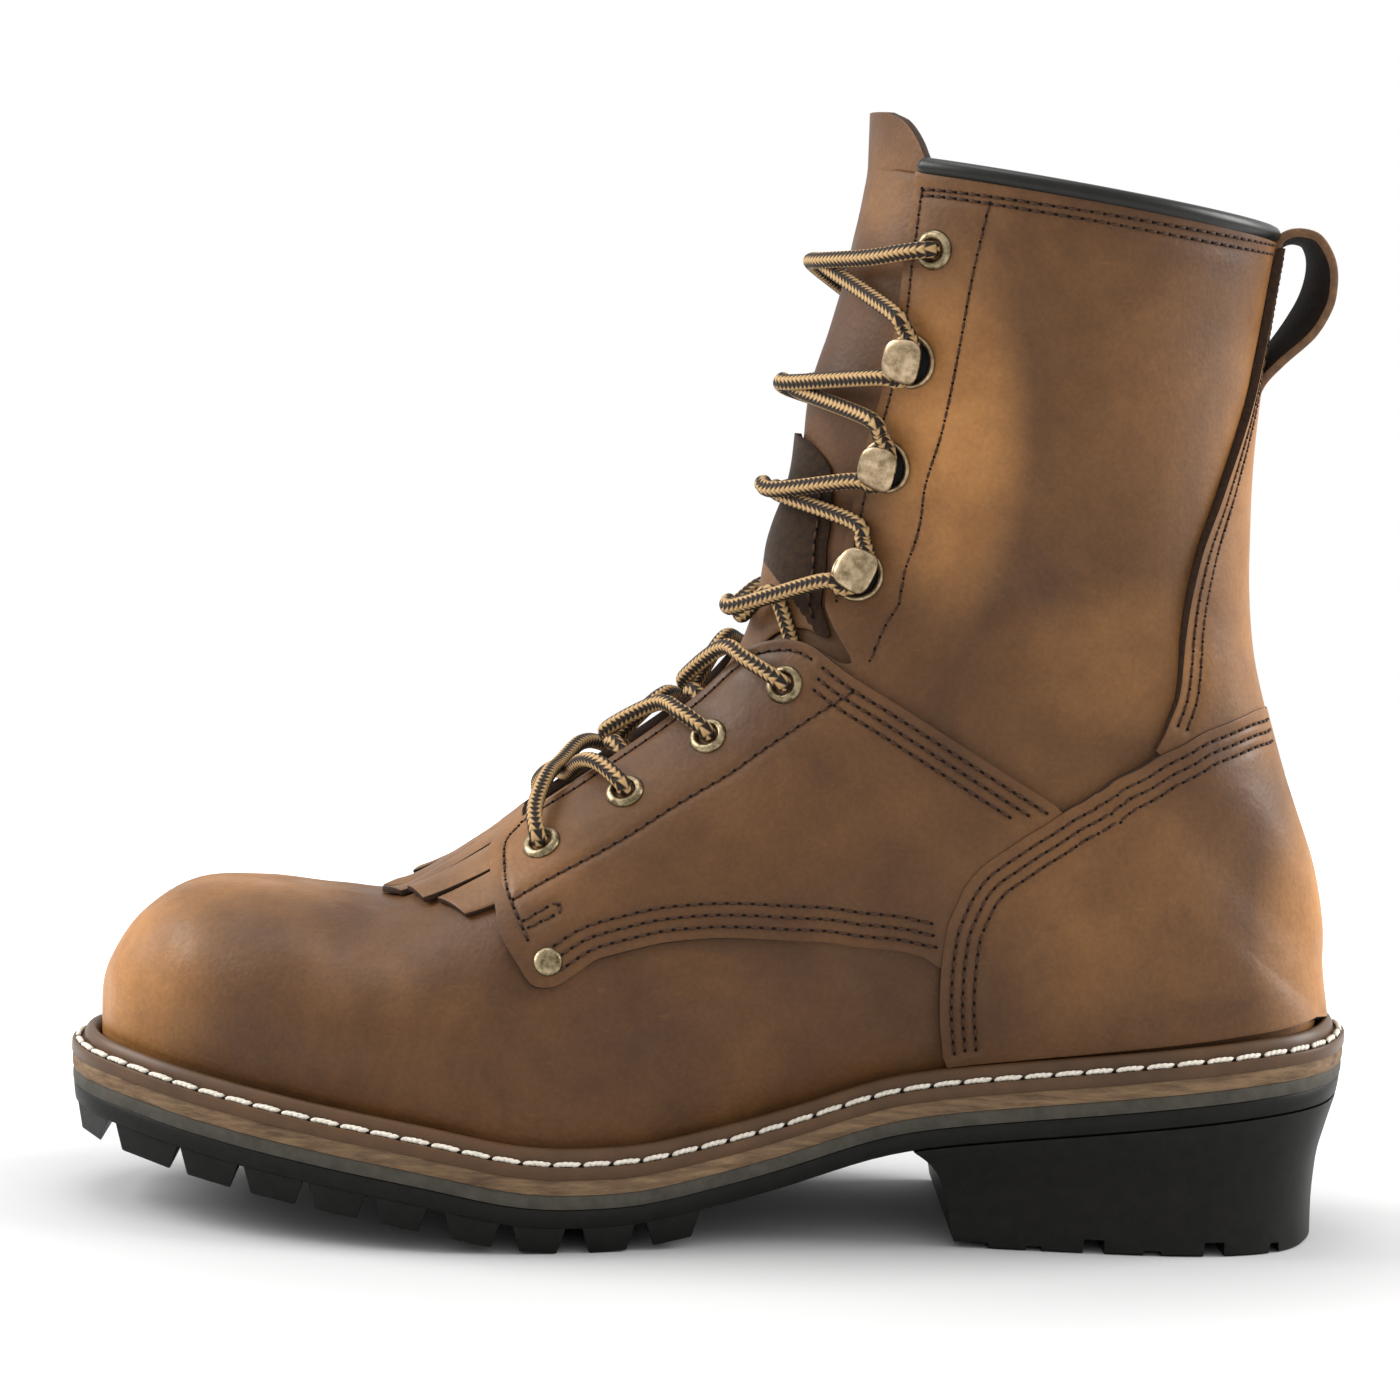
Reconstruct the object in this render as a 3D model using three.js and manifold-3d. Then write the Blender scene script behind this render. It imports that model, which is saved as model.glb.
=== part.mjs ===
// Logger boot for the right foot: millimetres, +Z up, toe along -X, medial side along -Y, floor at Z = 0.
import * as THREE from "three";
import { mergeVertices } from "three/addons/utils/BufferGeometryUtils.js";
import Module from "manifold-3d";

const wasm = await Module();
wasm.setup();

// Sole.
const LENGTH = 311; // welt, toe tip to heel tip
const BALL = 114; // welt width at the ball
const LUG_HEIGHT = 6.1;
const OUTSOLE = 4.7; // black rubber plate above the lugs
const MIDSOLE = 3.4; // grey rubber
const LEATHER_MIDSOLE = 3.7; // tan leather
const WELT = 3.0;
const BEAD = 3.7; // rolled bead above the welt
const WELT_MARGIN = 7.2; // welt edge to upper
const TOE_SPRING = 16.8;
const HEEL_RISE = 30.5; // heel seat above the forefoot
const INSOLE = 4;
const GAP = 0.3; // between neighbouring pieces
const WELT_SEAM = 0.55; // welt to upper
const HEEL_SEAM = 0.7; // outsole to heel

// Upper.
const SHAFT_HEIGHT = 255; // floor to the collar's front end
const WALL = 2.4; // vamp and shaft leather with its lining
const OVERLAY = 1.8; // quarter, counter and backstay leather
const TONGUE = 2;
const KILTIE = 1.7;
const OVERLAY_SEAM = 0.62; // upper to the leather sewn on it
const TONGUE_SEAM = 0.9; // upper to tongue
const KILTIE_SEAM = 0.8; // upper to kiltie

// Metal and lace.
const EYELET_RADIUS = 4.1;
const EYELET_BORE = 2.3;
const EYELET_FLANGE = 0.9;
const EYELET_WALL = 0.6;
const HOOK_RADIUS = 5.2;
const HOOK_HEIGHT = 5.4;
const HOOK_REACH = 4.2; // cap centre ahead of the base centre
const HOOK_PLATE = 1;
const RIVET_RADIUS = 3.2;
const LACE_RADIUS = 2.1;

// Pull loop and collar roll.
const BINDING_RADIUS = 2;
const LOOP_OUT = 10;
const LOOP_RISE = 4;
const LOOP_STRAP = 2.4;
const LOOP_WIDTH = 23;

// A table turned into rows with named columns.
const table = (names, ...rows) =>
  rows.map((row) => Object.fromEntries(names.split(" ").map((name, k) => [name, row[k]])));

// The foot, a row per section from toe to heel: station along the welt, welt half widths by BALL, crest point by
// LENGTH and SHAFT_HEIGHT, greatest half widths of the upper by BALL, height of that width, roundness of the crest.
const FOOT = table(
  "station medial lateral crestX crestZ wideM wideL belly crown",
  [0, 0, 0, -0.4778, 0.1941, 0, 0, 0.3, 2.4],
  [0.008, 0.1184, 0.1096, -0.4714, 0.2243, 0.1053, 0.0982, 0.3, 2.4],
  [0.032, 0.2281, 0.2061, -0.4495, 0.2667, 0.207, 0.1877, 0.3, 2.4],
  [0.08, 0.3377, 0.3026, -0.409, 0.2996, 0.3018, 0.2684, 0.3, 2.4],
  [0.14, 0.4167, 0.3772, -0.3553, 0.3043, 0.3772, 0.3386, 0.3, 2.4],
  [0.2, 0.4649, 0.4298, -0.2974, 0.2988, 0.4263, 0.3912, 0.29, 2.3],
  [0.26, 0.4939, 0.4675, -0.2412, 0.3027, 0.4544, 0.4298, 0.28, 2.2],
  [0.32, 0.5, 0.493, -0.1817, 0.3467, 0.4596, 0.4544, 0.27, 2.1],
  [0.38, 0.4781, 0.5018, -0.1302, 0.4, 0.4386, 0.4614, 0.26, 2],
  [0.44, 0.4342, 0.493, -0.0868, 0.4376, 0.4035, 0.4526, 0.26, 1.95],
  [0.5, 0.386, 0.4675, -0.0466, 0.4741, 0.3684, 0.4298, 0.27, 1.9],
  [0.56, 0.3465, 0.4368, -0.0129, 0.5098, 0.3421, 0.4035, 0.28, 1.9],
  [0.62, 0.3289, 0.4079, 0.0051, 0.5427, 0.3263, 0.3789, 0.3, 1.9],
  [0.68, 0.3272, 0.3842, 0.0141, 0.571, 0.3193, 0.3614, 0.32, 1.9],
  [0.74, 0.336, 0.3684, 0.0193, 0.5976, 0.3193, 0.3491, 0.34, 1.9],
  [0.8, 0.3439, 0.3596, 0.0219, 0.622, 0.3211, 0.3404, 0.36, 1.9],
  [0.86, 0.3421, 0.3509, 0.0238, 0.6439, 0.3211, 0.3333, 0.38, 1.9],
  [0.91, 0.3202, 0.3263, 0.0277, 0.6635, 0.3175, 0.3246, 0.4, 1.9],
  [0.955, 0.2632, 0.2658, 0.0322, 0.68, 0.3123, 0.3158, 0.42, 1.9],
  [0.985, 0.1623, 0.1623, 0.036, 0.6925, 0.3088, 0.3105, 0.43, 1.9],
  [1, 0, 0, 0.0386, 0.7051, 0.3061, 0.307, 0.44, 1.9],
);
const HEEL_ROW = FOOT.length - 1;

// The shaft, a row per section from the heel's corner past the collar: back point, crest point, half width.
const SHAFT = table(
  "backX backZ crestX crestZ wide belly crown",
  [0.4711, 0.2588, 0.0408, 0.7239, 0.3035, 0.45, 1.9],
  [0.4691, 0.3, 0.0421, 0.7459, 0.3035, 0.46, 1.9],
  [0.4598, 0.3529, 0.0431, 0.771, 0.307, 0.47, 1.9],
  [0.4437, 0.4059, 0.0457, 0.7976, 0.314, 0.48, 1.95],
  [0.4286, 0.4557, 0.0511, 0.822, 0.3246, 0.48, 2],
  [0.4148, 0.5059, 0.0569, 0.8447, 0.3377, 0.48, 2],
  [0.4032, 0.5588, 0.0617, 0.8667, 0.3509, 0.48, 2],
  [0.3968, 0.6176, 0.0662, 0.8886, 0.364, 0.48, 2],
  [0.3945, 0.6784, 0.0701, 0.9114, 0.3772, 0.48, 2],
  [0.3942, 0.7451, 0.0736, 0.9349, 0.3886, 0.48, 2],
  [0.3974, 0.8118, 0.0772, 0.9576, 0.3974, 0.48, 2],
  [0.4029, 0.8784, 0.0801, 0.9796, 0.4035, 0.48, 2],
  [0.4096, 0.9459, 0.0823, 1.001, 0.4079, 0.48, 2],
  [0.4161, 1.004, 0.0839, 1.049, 0.4114, 0.48, 2],
  [0.4212, 1.059, 0.0849, 1.098, 0.414, 0.48, 2],
);
const COLLAR = 33; // section at the upper's top edge

// The sole's bend in side view: share of TOE_SPRING or HEEL_RISE by station.
const SPRING = table(
  "at share",
  [0, 1],
  [0.038, 0.964],
  [0.077, 0.856],
  [0.114, 0.74],
  [0.15, 0.646],
  [0.185, 0.55],
  [0.22, 0.455],
  [0.254, 0.375],
  [0.283, 0.295],
  [0.309, 0.205],
  [0.337, 0.105],
  [0.358, 0],
  [1, 0],
);
const RISE = table(
  "at share",
  [0, 0],
  [0.442, 0],
  [0.465, 0.04],
  [0.49, 0.105],
  [0.537, 0.215],
  [0.582, 0.36],
  [0.634, 0.55],
  [0.68, 0.63],
  [0.7326, 0.703],
  [0.7791, 0.762],
  [0.8236, 0.8176],
  [0.8979, 0.912],
  [0.9674, 0.984],
  [1, 1],
);

// Panel edges on the upper: section number, then share of the way from the feather line or back to the crest.
const THROAT = table(
  "at u",
  [6.6, 1],
  [6.9, 0.945],
  [7.2, 0.925],
  [7.58, 0.905],
  [8.2, 0.893],
  [8.87, 0.903],
  [9.78, 0.91],
  [10.84, 0.912],
  [12.34, 0.874],
  [13.88, 0.801],
  [14.93, 0.738],
  [15.43, 0.69],
  [15.75, 0.68],
  [16.05, 0.725],
  [16.4, 0.752],
  [17.54, 0.767],
  [18.9, 0.769],
  [21, 0.762],
  [22.61, 0.749],
  [24.06, 0.728],
  [25.53, 0.717],
  [28, 0.713],
  [30.45, 0.724],
  [33, 0.736],
);
const QUARTER_TOP = table(
  "at u",
  [7.13, 0.885],
  [7.3, 0.918],
  [7.58, 0.905],
  [8.2, 0.893],
  [8.87, 0.903],
  [9.78, 0.91],
  [10.84, 0.912],
  [12.34, 0.874],
  [13.88, 0.801],
  [14.93, 0.738],
  [15.43, 0.67],
  [16.06, 0.605],
  [16.61, 0.547],
  [17.13, 0.492],
  [17.68, 0.432],
);
const QUARTER_BOTTOM = table(
  "at u",
  [7.13, 0.865],
  [7.2, 0.763],
  [7.32, 0.639],
  [7.53, 0.574],
  [7.8, 0.522],
  [8.05, 0.515],
  [8.29, 0.523],
  [8.73, 0.54],
  [9.46, 0.534],
  [10.19, 0.515],
  [10.9, 0.486],
  [11.63, 0.447],
  [12.33, 0.408],
  [13.04, 0.349],
  [13.58, 0.302],
  [13.78, 0.343],
  [14.11, 0.388],
  [14.44, 0.415],
  [14.85, 0.428],
  [15.35, 0.434],
  [16.78, 0.432],
  [17.68, 0.424],
);
const COUNTER_TOP = table(
  "at u",
  [12.98, 0.05],
  [13.08, 0.122],
  [13.27, 0.201],
  [13.49, 0.272],
  [13.78, 0.334],
  [14.11, 0.379],
  [14.44, 0.406],
  [14.85, 0.419],
  [15.35, 0.425],
  [16, 0.426],
  [16.78, 0.423],
  [17.44, 0.418],
  [20.05, 0.405],
  [22.26, 0.339],
  [23.96, 0.258],
  [25.25, 0.172],
  [25.9, 0.076],
  [25.97, 0.03],
);
const BACKSTAY_FRONT = table(
  "at u",
  [23.25, 0.31],
  [24.4, 0.277],
  [26.28, 0.245],
  [27.87, 0.211],
  [29.26, 0.164],
  [30.27, 0.119],
  [31, 0.088],
  [32, 0.07],
  [33, 0.062],
);
const BACKSTAY_REAR = table(
  "at u",
  [23.25, 0.302],
  [23.96, 0.268],
  [25.25, 0.182],
  [25.95, 0.09],
  [26.1, 0],
  [33, 0],
);
const TONGUE_EDGE = table(
  "at u",
  [8.6, 0.8],
  [10, 0.78],
  [12, 0.75],
  [14, 0.66],
  [16, 0.6],
  [20, 0.62],
  [24, 0.6],
  [28, 0.58],
  [31, 0.6],
  [33, 0.64],
  [33.5, 0.69],
  [33.9, 0.77],
  [34.05, 0.87],
);
// The kiltie's fringed foot on the vamp.
const FRINGE = table("at u", [5.75, 0.965], [6.1, 0.86], [6.5, 0.765], [6.85, 0.7], [6.93, 0.7]);
// The kiltie above it: edge and how far it has dropped from the vamp's face into the throat.
const KILTIE_EDGE = table(
  "at u drop",
  [6.75, 0.95, 0],
  [7.1, 0.962, 0.05],
  [7.35, 0.948, 0.55],
  [7.75, 0.93, 1],
  [8.4, 0.918, 1],
  [9.5, 0.93, 1],
  [10.84, 0.936, 1],
  [12.34, 0.902, 1],
  [13.6, 0.85, 1],
  [14.9, 0.78, 1],
  [15.6, 0.745, 1],
  [16.2, 0.775, 1],
  [17, 0.788, 1],
  [18.4, 0.79, 1],
  [20, 0.79, 1],
  [21.4, 0.812, 1],
  [21.9, 0.88, 1],
  [22.15, 0.965, 1],
);

// Lacing stations: where each eyelet or hook sits, and how near the crest its lace leaves the facing.
const LACING = table(
  "kind at u lace",
  ["eyelet", 7.88, 0.779, 0.875],
  ["eyelet", 9.24, 0.794, 0.885],
  ["eyelet", 10.82, 0.793, 0.885],
  ["eyelet", 13.34, 0.741, 0.82],
  ["hook", 18.9, 0.712, 0.765],
  ["hook", 23.8, 0.672, 0.727],
  ["hook", 27.6, 0.645, 0.705],
  ["top_eyelet", 30.82, 0.661, 0.715],
);
const RIVET = { at: 7.98, u: 0.555 };

// Lugs under the forefoot: stations of their feet, medial end to lateral end alike.
const LUGS = table(
  "from to",
  [0.014, 0.033],
  [0.052, 0.092],
  [0.106, 0.14],
  [0.156, 0.19],
  [0.206, 0.237],
  [0.256, 0.284],
  [0.308, 0.338],
  [0.359, 0.387],
  [0.411, 0.439],
  [0.459, 0.488],
);
const LUG_FLANK = 0.0075; // share of LENGTH that each lug's side slopes
const CHANNEL = 5; // between medial and lateral lugs
// The heel block, a row per level: share of its height, inset of its sides, breast station.
const HEEL = table(
  "level inset breast",
  [1, 1.2, 0.655],
  [0.8, 3.2, 0.671],
  [0.55, 5.2, 0.681],
  [0.25, 5.8, 0.687],
  [0, 5.6, 0.691],
);
// Grooves across the heel's foot: station of the middle, width, depth.
const GROOVES = table(
  "station width depth",
  [0.7515, 4.4, 1.3],
  [0.7973, 5.6, 3.5],
  [0.8422, 5, 1.3],
  [0.8906, 5.6, 3.5],
  [0.94, 3, 2.6],
);
const HEEL_TOE_LIFT = 1.6; // first part of the heel's foot, clear of the floor
const HEEL_TOE_END = 0.7165;

const STACK = LUG_HEIGHT + OUTSOLE + MIDSOLE + LEATHER_MIDSOLE;
const OUT = OVERLAY + OVERLAY_SEAM;

// Monotone curve through a table's points.
function curve(rows, x, key = "share") {
  const n = rows.length;
  const slope = rows.slice(1).map((r, i) => (r[key] - rows[i][key]) / (r.at - rows[i].at));
  const tangent = rows.map((r, i) => {
    const before = slope[Math.max(i - 1, 0)];
    const after = slope[Math.min(i, n - 2)];
    return before * after <= 0 ? 0 : (2 * before * after) / (before + after);
  });
  let i = 0;
  while (i < n - 2 && x > rows[i + 1].at) i++;
  const h = rows[i + 1].at - rows[i].at;
  const t = (x - rows[i].at) / h;
  if (t < 0) return rows[0][key] + tangent[0] * (x - rows[0].at);
  if (t > 1) return rows[n - 1][key] + tangent[n - 1] * (x - rows[n - 1].at);
  const a = (1 + 2 * t) * (1 - t) ** 2;
  const b = t * (1 - t) ** 2 * h;
  const c = t * t * (3 - 2 * t);
  const d = t * t * (t - 1) * h;
  return a * rows[i][key] + b * tangent[i] + c * rows[i + 1][key] + d * tangent[i + 1];
}

// Straight lines through a table's points, for edges with corners.
function line(rows, x, key = "u") {
  let i = 0;
  while (i < rows.length - 2 && x > rows[i + 1].at) i++;
  const t = (x - rows[i].at) / (rows[i + 1].at - rows[i].at);
  return rows[i][key] + t * (rows[i + 1][key] - rows[i][key]);
}

const spline = (a, b, c, d, t) =>
  b.map((_, k) => {
    const linear = (c[k] - a[k]) * t;
    const square = (2 * a[k] - 5 * b[k] + 4 * c[k] - d[k]) * t * t;
    const cube = (3 * b[k] - a[k] - 3 * c[k] + d[k]) * t ** 3;
    return 0.5 * (2 * b[k] + linear + square + cube);
  });

// Top of the tan leather midsole at a point along the boot.
function seat(x) {
  const station = x / LENGTH + 0.5;
  return STACK + TOE_SPRING * curve(SPRING, station) + HEEL_RISE * curve(RISE, station);
}

// The welt's outline in plan, moved inwards by inset: [x, half width] at section t; side -1 is medial.
function outline(t, side, inset) {
  const row = (i) => {
    const k = i < 0 ? -i : i > HEEL_ROW ? 2 * HEEL_ROW - i : i;
    const width = side < 0 ? FOOT[k].medial : FOOT[k].lateral;
    return [(FOOT[k].station - 0.5) * LENGTH, (k === i ? 1 : -1) * width * BALL];
  };
  const at = (s) => {
    const i = Math.floor(s);
    return spline(row(i - 1), row(i), row(i + 1), row(i + 2), s - i);
  };
  const p = at(t);
  const step = 1e-3;
  const from = at(t - step);
  const to = at(t + step);
  const run = [to[0] - from[0], to[1] - from[1]];
  const length = Math.hypot(...run);
  return [p[0] + (inset * run[1]) / length, p[1] - (inset * run[0]) / length];
}

// Section rows of the upper: lower x, lower z, lower half width, crest x, crest z, half width, belly, crown.
const SECTIONS = Object.fromEntries(
  [-1, 1].map((side) => [
    side,
    [
      ...FOOT.map((row, i) => {
        const [x, y] = outline(i, side, WELT_MARGIN);
        const tip = i === 0 || i === HEEL_ROW;
        const wide = side < 0 ? row.wideM : row.wideL;
        const z = seat(x) + WELT + BEAD;
        const crest = [row.crestX * LENGTH, row.crestZ * SHAFT_HEIGHT];
        return [x, z, tip ? 0 : y, ...crest, wide * BALL, row.belly, row.crown];
      }),
      ...SHAFT.map((row) => [
        row.backX * LENGTH,
        row.backZ * SHAFT_HEIGHT,
        0,
        row.crestX * LENGTH,
        row.crestZ * SHAFT_HEIGHT,
        row.wide * BALL,
        row.belly,
        row.crown,
      ]),
    ],
  ]),
);
const LAST = SECTIONS[1].length - 1;

function section(v, side) {
  const rows = SECTIONS[side];
  const foot = v <= HEEL_ROW;
  const i = Math.min(Math.floor(v), foot ? HEEL_ROW - 1 : LAST - 1);
  const row = (k) => {
    if (k < 0) return rows[-k].map((value, c) => (c === 2 || c === 5 ? -value : value));
    if (k > LAST) return rows[LAST].map((value, c) => 2 * value - rows[LAST - 1][c]);
    if (foot && k > HEEL_ROW) {
      const mirrored = rows[2 * HEEL_ROW - k];
      return [mirrored[0], mirrored[1], -mirrored[2], ...rows[k].slice(3)];
    }
    if (!foot && k < HEEL_ROW) {
      const ahead = [0, 1, 2].map((c) => 2 * rows[HEEL_ROW][c] - rows[HEEL_ROW + 1][c]);
      return [...ahead, ...rows[k].slice(3)];
    }
    return rows[k];
  };
  return spline(row(i - 1), row(i), row(i + 1), row(i + 2), v - i);
}

const LOWER_SHARE = 0.4; // part of u below the widest point
const SKIRT_UNIT = 20; // millimetres straight down for u = -1

// Point on the upper's outer face: section v, u from the feather line or back (0) to the crest (1).
function face(side, v, u) {
  if (u > 1) return face(-side, v, 2 - u);
  if (v < 0) return face(-side, -v, u);
  if (u < 0 && v > HEEL_ROW) return face(-side, v, -u);
  const [x, z, low, crestX, crestZ, wide, belly, crown] = section(v, side);
  const tuck = wide > 1e-6 ? Math.min(Math.max(low / wide, 0), 0.985) : 0.9;
  if (u < 0) return new THREE.Vector3(x, side * tuck * wide, z + u * SKIRT_UNIT);
  const start = Math.asin(tuck);
  let y;
  let rise;
  if (u < LOWER_SHARE) {
    const angle = start + ((Math.PI / 2 - start) * u) / LOWER_SHARE;
    y = wide * Math.sin(angle);
    rise = (belly * (Math.cos(start) - Math.cos(angle))) / Math.cos(start);
  } else {
    const angle = ((Math.PI / 2) * (u - LOWER_SHARE)) / (1 - LOWER_SHARE);
    y = wide * Math.max(0, Math.cos(angle)) ** (2 / crown);
    rise = belly + (1 - belly) * Math.sin(angle) ** (2 / crown);
  }
  return new THREE.Vector3(x + rise * (crestX - x), side * y, z + rise * (crestZ - z));
}

// Outward normal of that face.
function normal(side, v, u) {
  const step = 0.02;
  const across = Math.min(u, 0.999);
  const along = Math.max(v, 0.03);
  const onFoot = v <= HEEL_ROW;
  const low = across >= 0 && onFoot ? Math.max(across - step, 0) : across - step;
  const before = along > HEEL_ROW - 0.01 && onFoot && u >= 0 ? along : along - step;
  const after = u < 0 ? Math.min(along + step, HEEL_ROW) : along + step;
  const du = face(side, along, across + step).sub(face(side, along, low));
  const dv = face(side, after, across).sub(face(side, before, across));
  return dv.cross(du).multiplyScalar(-side).normalize();
}

const onFace = (side, v, u, offset) => face(side, v, u).addScaledVector(normal(side, v, u), offset);

const solids = [];
const parts = new THREE.Group();

function geometryOf(points, triangles) {
  const geometry = new THREE.BufferGeometry();
  geometry.setAttribute("position", new THREE.Float32BufferAttribute(points.flatMap((p) => [p.x, p.y, p.z]), 3));
  geometry.setIndex(triangles.flat());
  return geometry;
}

function solid(geometry) {
  const bare = geometry.clone();
  bare.deleteAttribute("normal");
  bare.deleteAttribute("uv");
  const merged = mergeVertices(bare, 1e-4);
  const mesh = new wasm.Mesh({
    numProp: 3,
    vertProperties: merged.attributes.position.array,
    triVerts: new Uint32Array(merged.index.array),
  });
  return new wasm.Manifold(mesh);
}

function geometryFrom(manifold) {
  const mesh = manifold.getMesh();
  const geometry = new THREE.BufferGeometry();
  const positions = new Float32Array(mesh.numVert * 3);
  for (let i = 0; i < mesh.numVert; i++) {
    for (let k = 0; k < 3; k++) positions[3 * i + k] = mesh.vertProperties[mesh.numProp * i + k];
  }
  geometry.setAttribute("position", new THREE.BufferAttribute(positions, 3));
  geometry.setIndex(Array.from(mesh.triVerts));
  geometry.computeVertexNormals();
  return geometry;
}

// Turned the right way out.
function facingOut(points, triangles) {
  let volume = 0;
  for (const [a, b, c] of triangles) volume += points[a].dot(points[b].clone().cross(points[c]));
  return volume < 0 ? triangles.map(([a, b, c]) => [a, c, b]) : triangles;
}

// A band of the upper: sections, and the u values from its lower edge to its upper edge.
const band = (side, stations, from, to, steps) => ({
  side,
  rows: stations.map((v) =>
    Array.from({ length: steps + 1 }, (_, j) => ({ v, u: from(v) + ((to(v) - from(v)) * j) / steps })),
  ),
});
const bands = (stations, from, to, steps) => [-1, 1].map((side) => band(side, stations, from, to, steps));

// One closed solid between two offsets of joined bands; offsets may change from section to section.
function sheet(pieces, inner, outer) {
  const index = new Map();
  const inside = [];
  const outside = [];
  const vertex = (side, v, u) => {
    const p = face(side, v, u);
    const key = [p.x, p.y, p.z].map((c) => Math.round(c * 500)).join();
    if (!index.has(key)) {
      index.set(key, inside.length);
      inside.push(onFace(side, v, u, inner(v)));
      outside.push(onFace(side, v, u, outer(v)));
    }
    return index.get(key);
  };
  const faces = [];
  for (const { side, rows } of pieces) {
    const ids = rows.map((row) => row.map(({ v, u }) => vertex(side, v, u)));
    for (let i = 0; i + 1 < ids.length; i++) {
      for (let j = 0; j + 1 < ids[i].length; j++) {
        const [a, b, c, d] = [ids[i][j], ids[i + 1][j], ids[i + 1][j + 1], ids[i][j + 1]];
        for (const t of [
          [a, b, c],
          [a, c, d],
        ]) {
          if (new Set(t).size === 3) faces.push(side < 0 ? t : [t[0], t[2], t[1]]);
        }
      }
    }
  }
  const edges = new Set(faces.flatMap(([a, b, c]) => [`${a} ${b}`, `${b} ${c}`, `${c} ${a}`]));
  const n = inside.length;
  const triangles = [];
  for (const [a, b, c] of faces) triangles.push([a, b, c], [n + a, n + c, n + b]);
  for (const edge of edges) {
    const [a, b] = edge.split(" ").map(Number);
    if (!edges.has(`${b} ${a}`)) triangles.push([b, a, n + a], [b, n + a, n + b]);
  }
  const points = [...outside, ...inside];
  return geometryOf(points, facingOut(points, triangles));
}

// Loft through rings of equal length, closed at both ends by a fan of quads between the two halves.
function loft(rings) {
  const n = rings[0].length;
  const points = rings.flat();
  const triangles = [];
  for (let k = 0; k + 1 < rings.length; k++) {
    for (let i = 0; i < n; i++) {
      const a = k * n + i;
      const b = k * n + ((i + 1) % n);
      triangles.push([a, b, b + n], [a, b + n, a + n]);
    }
  }
  const end = (rings.length - 1) * n;
  for (let i = 0; i + 1 < n - 1 - i; i++) {
    const quad = [i, i + 1, n - 2 - i, n - 1 - i];
    const [a, b, c, d] = quad;
    triangles.push([a, c, b], [a, d, c], [end + a, end + b, end + c], [end + a, end + c, end + d]);
  }
  const clean = triangles.filter((t) => new Set(t).size === 3);
  return geometryOf(points, facingOut(points, clean));
}

// Sections at which the sole's plates are drawn.
const STATIONS = [
  0, 0.35, 0.7, 1.1, 1.6, 2.2, 2.8, 3.5, 4.2, 5.2, 6.2, 7.2, 8.2, 9.2, 10.2, 11.3, 12.5, 14, 15.3, 16.3, 17, 17.7,
  18.3, 18.8, 19.2, 19.6, 20,
];

// Ring of points round the boot's outline at an inset, from toe along the lateral side and back along the medial.
function ringAt(inset, height) {
  const lateral = STATIONS.map((t) => outline(t, 1, inset));
  const medial = STATIONS.slice(1, -1).map((t) => outline(t, -1, inset));
  const at = ([x, y], side) => new THREE.Vector3(x, side * y, height(x));
  return [...lateral.map((p) => at(p, 1)), ...medial.reverse().map((p) => at(p, -1))];
}

// A plate that follows the sole's bend, with its edge inset at the bottom and at the top.
function plate(bottom, top, bottomInset, topInset) {
  const rings = [ringAt(bottomInset, bottom), ringAt(topInset, top)];
  const n = rings[0].length;
  const points = rings.flat();
  const triangles = [];
  for (let i = 0; i < n; i++) {
    const b = (i + 1) % n;
    triangles.push([i, b, n + b], [i, n + b, n + i]);
  }
  const half = STATIONS.length - 1;
  for (let i = 0; i < half; i++) {
    const quad = [i, i + 1, (n - i - 1) % n, (n - i) % n];
    for (const t of [
      [quad[0], quad[1], quad[2]],
      [quad[0], quad[2], quad[3]],
    ]) {
      if (new Set(t).size === 3) triangles.push([t[0], t[2], t[1]], t.map((k) => k + n));
    }
  }
  return geometryOf(points, facingOut(points, triangles));
}

// A closed profile of [inset, height] carried round the outline.
function ring(profile) {
  const rings = profile.map(([inset, up]) => ringAt(inset, (x) => seat(x) + up));
  const n = rings[0].length;
  const m = rings.length;
  const triangles = [];
  for (let k = 0; k < m; k++) {
    for (let i = 0; i < n; i++) {
      const b = (i + 1) % n;
      const [p, q] = [k * n, ((k + 1) % m) * n];
      triangles.push([p + i, p + b, q + b], [p + i, q + b, q + i]);
    }
  }
  const points = rings.flat();
  return geometryOf(points, facingOut(points, triangles));
}

// A round or flat bar along a path of frames {p, a, b}, its section given as [a, b] pairs.
function bar(frames, profile) {
  return loft(frames.map(({ p, a, b }) => profile.map(([s, t]) => p.clone().addScaledVector(a, s).addScaledVector(b, t))));
}

const circle = (radius, sides) =>
  Array.from({ length: sides }, (_, k) => {
    const angle = (2 * Math.PI * (k + 0.5)) / sides;
    return [radius * Math.cos(angle), radius * Math.sin(angle)];
  });

// Frames along a run of points, with up kept near the given normals.
function framesAlong(points, ups) {
  return points.map((p, i) => {
    const before = points[Math.max(i - 1, 0)];
    const after = points[Math.min(i + 1, points.length - 1)];
    const run = after.clone().sub(before).normalize();
    const a = ups[i].clone().addScaledVector(run, -ups[i].dot(run)).normalize();
    return { p, a, b: run.clone().cross(a) };
  });
}

// The placement of a fitting on the upper: z out of the leather, x towards the throat.
function seatOn(side, v, u, offset) {
  const z = normal(side, v, u);
  const x = face(side, v, u + 0.02).sub(face(side, v, u - 0.02)).normalize();
  x.addScaledVector(z, -x.dot(z)).normalize();
  const y = z.clone().cross(x);
  return new THREE.Matrix4().makeBasis(x, y, z).setPosition(onFace(side, v, u, offset));
}

const turned = (profile, sides) =>
  new THREE.LatheGeometry(profile.map(([r, z]) => new THREE.Vector2(r, z)), sides).rotateX(Math.PI / 2);

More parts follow.
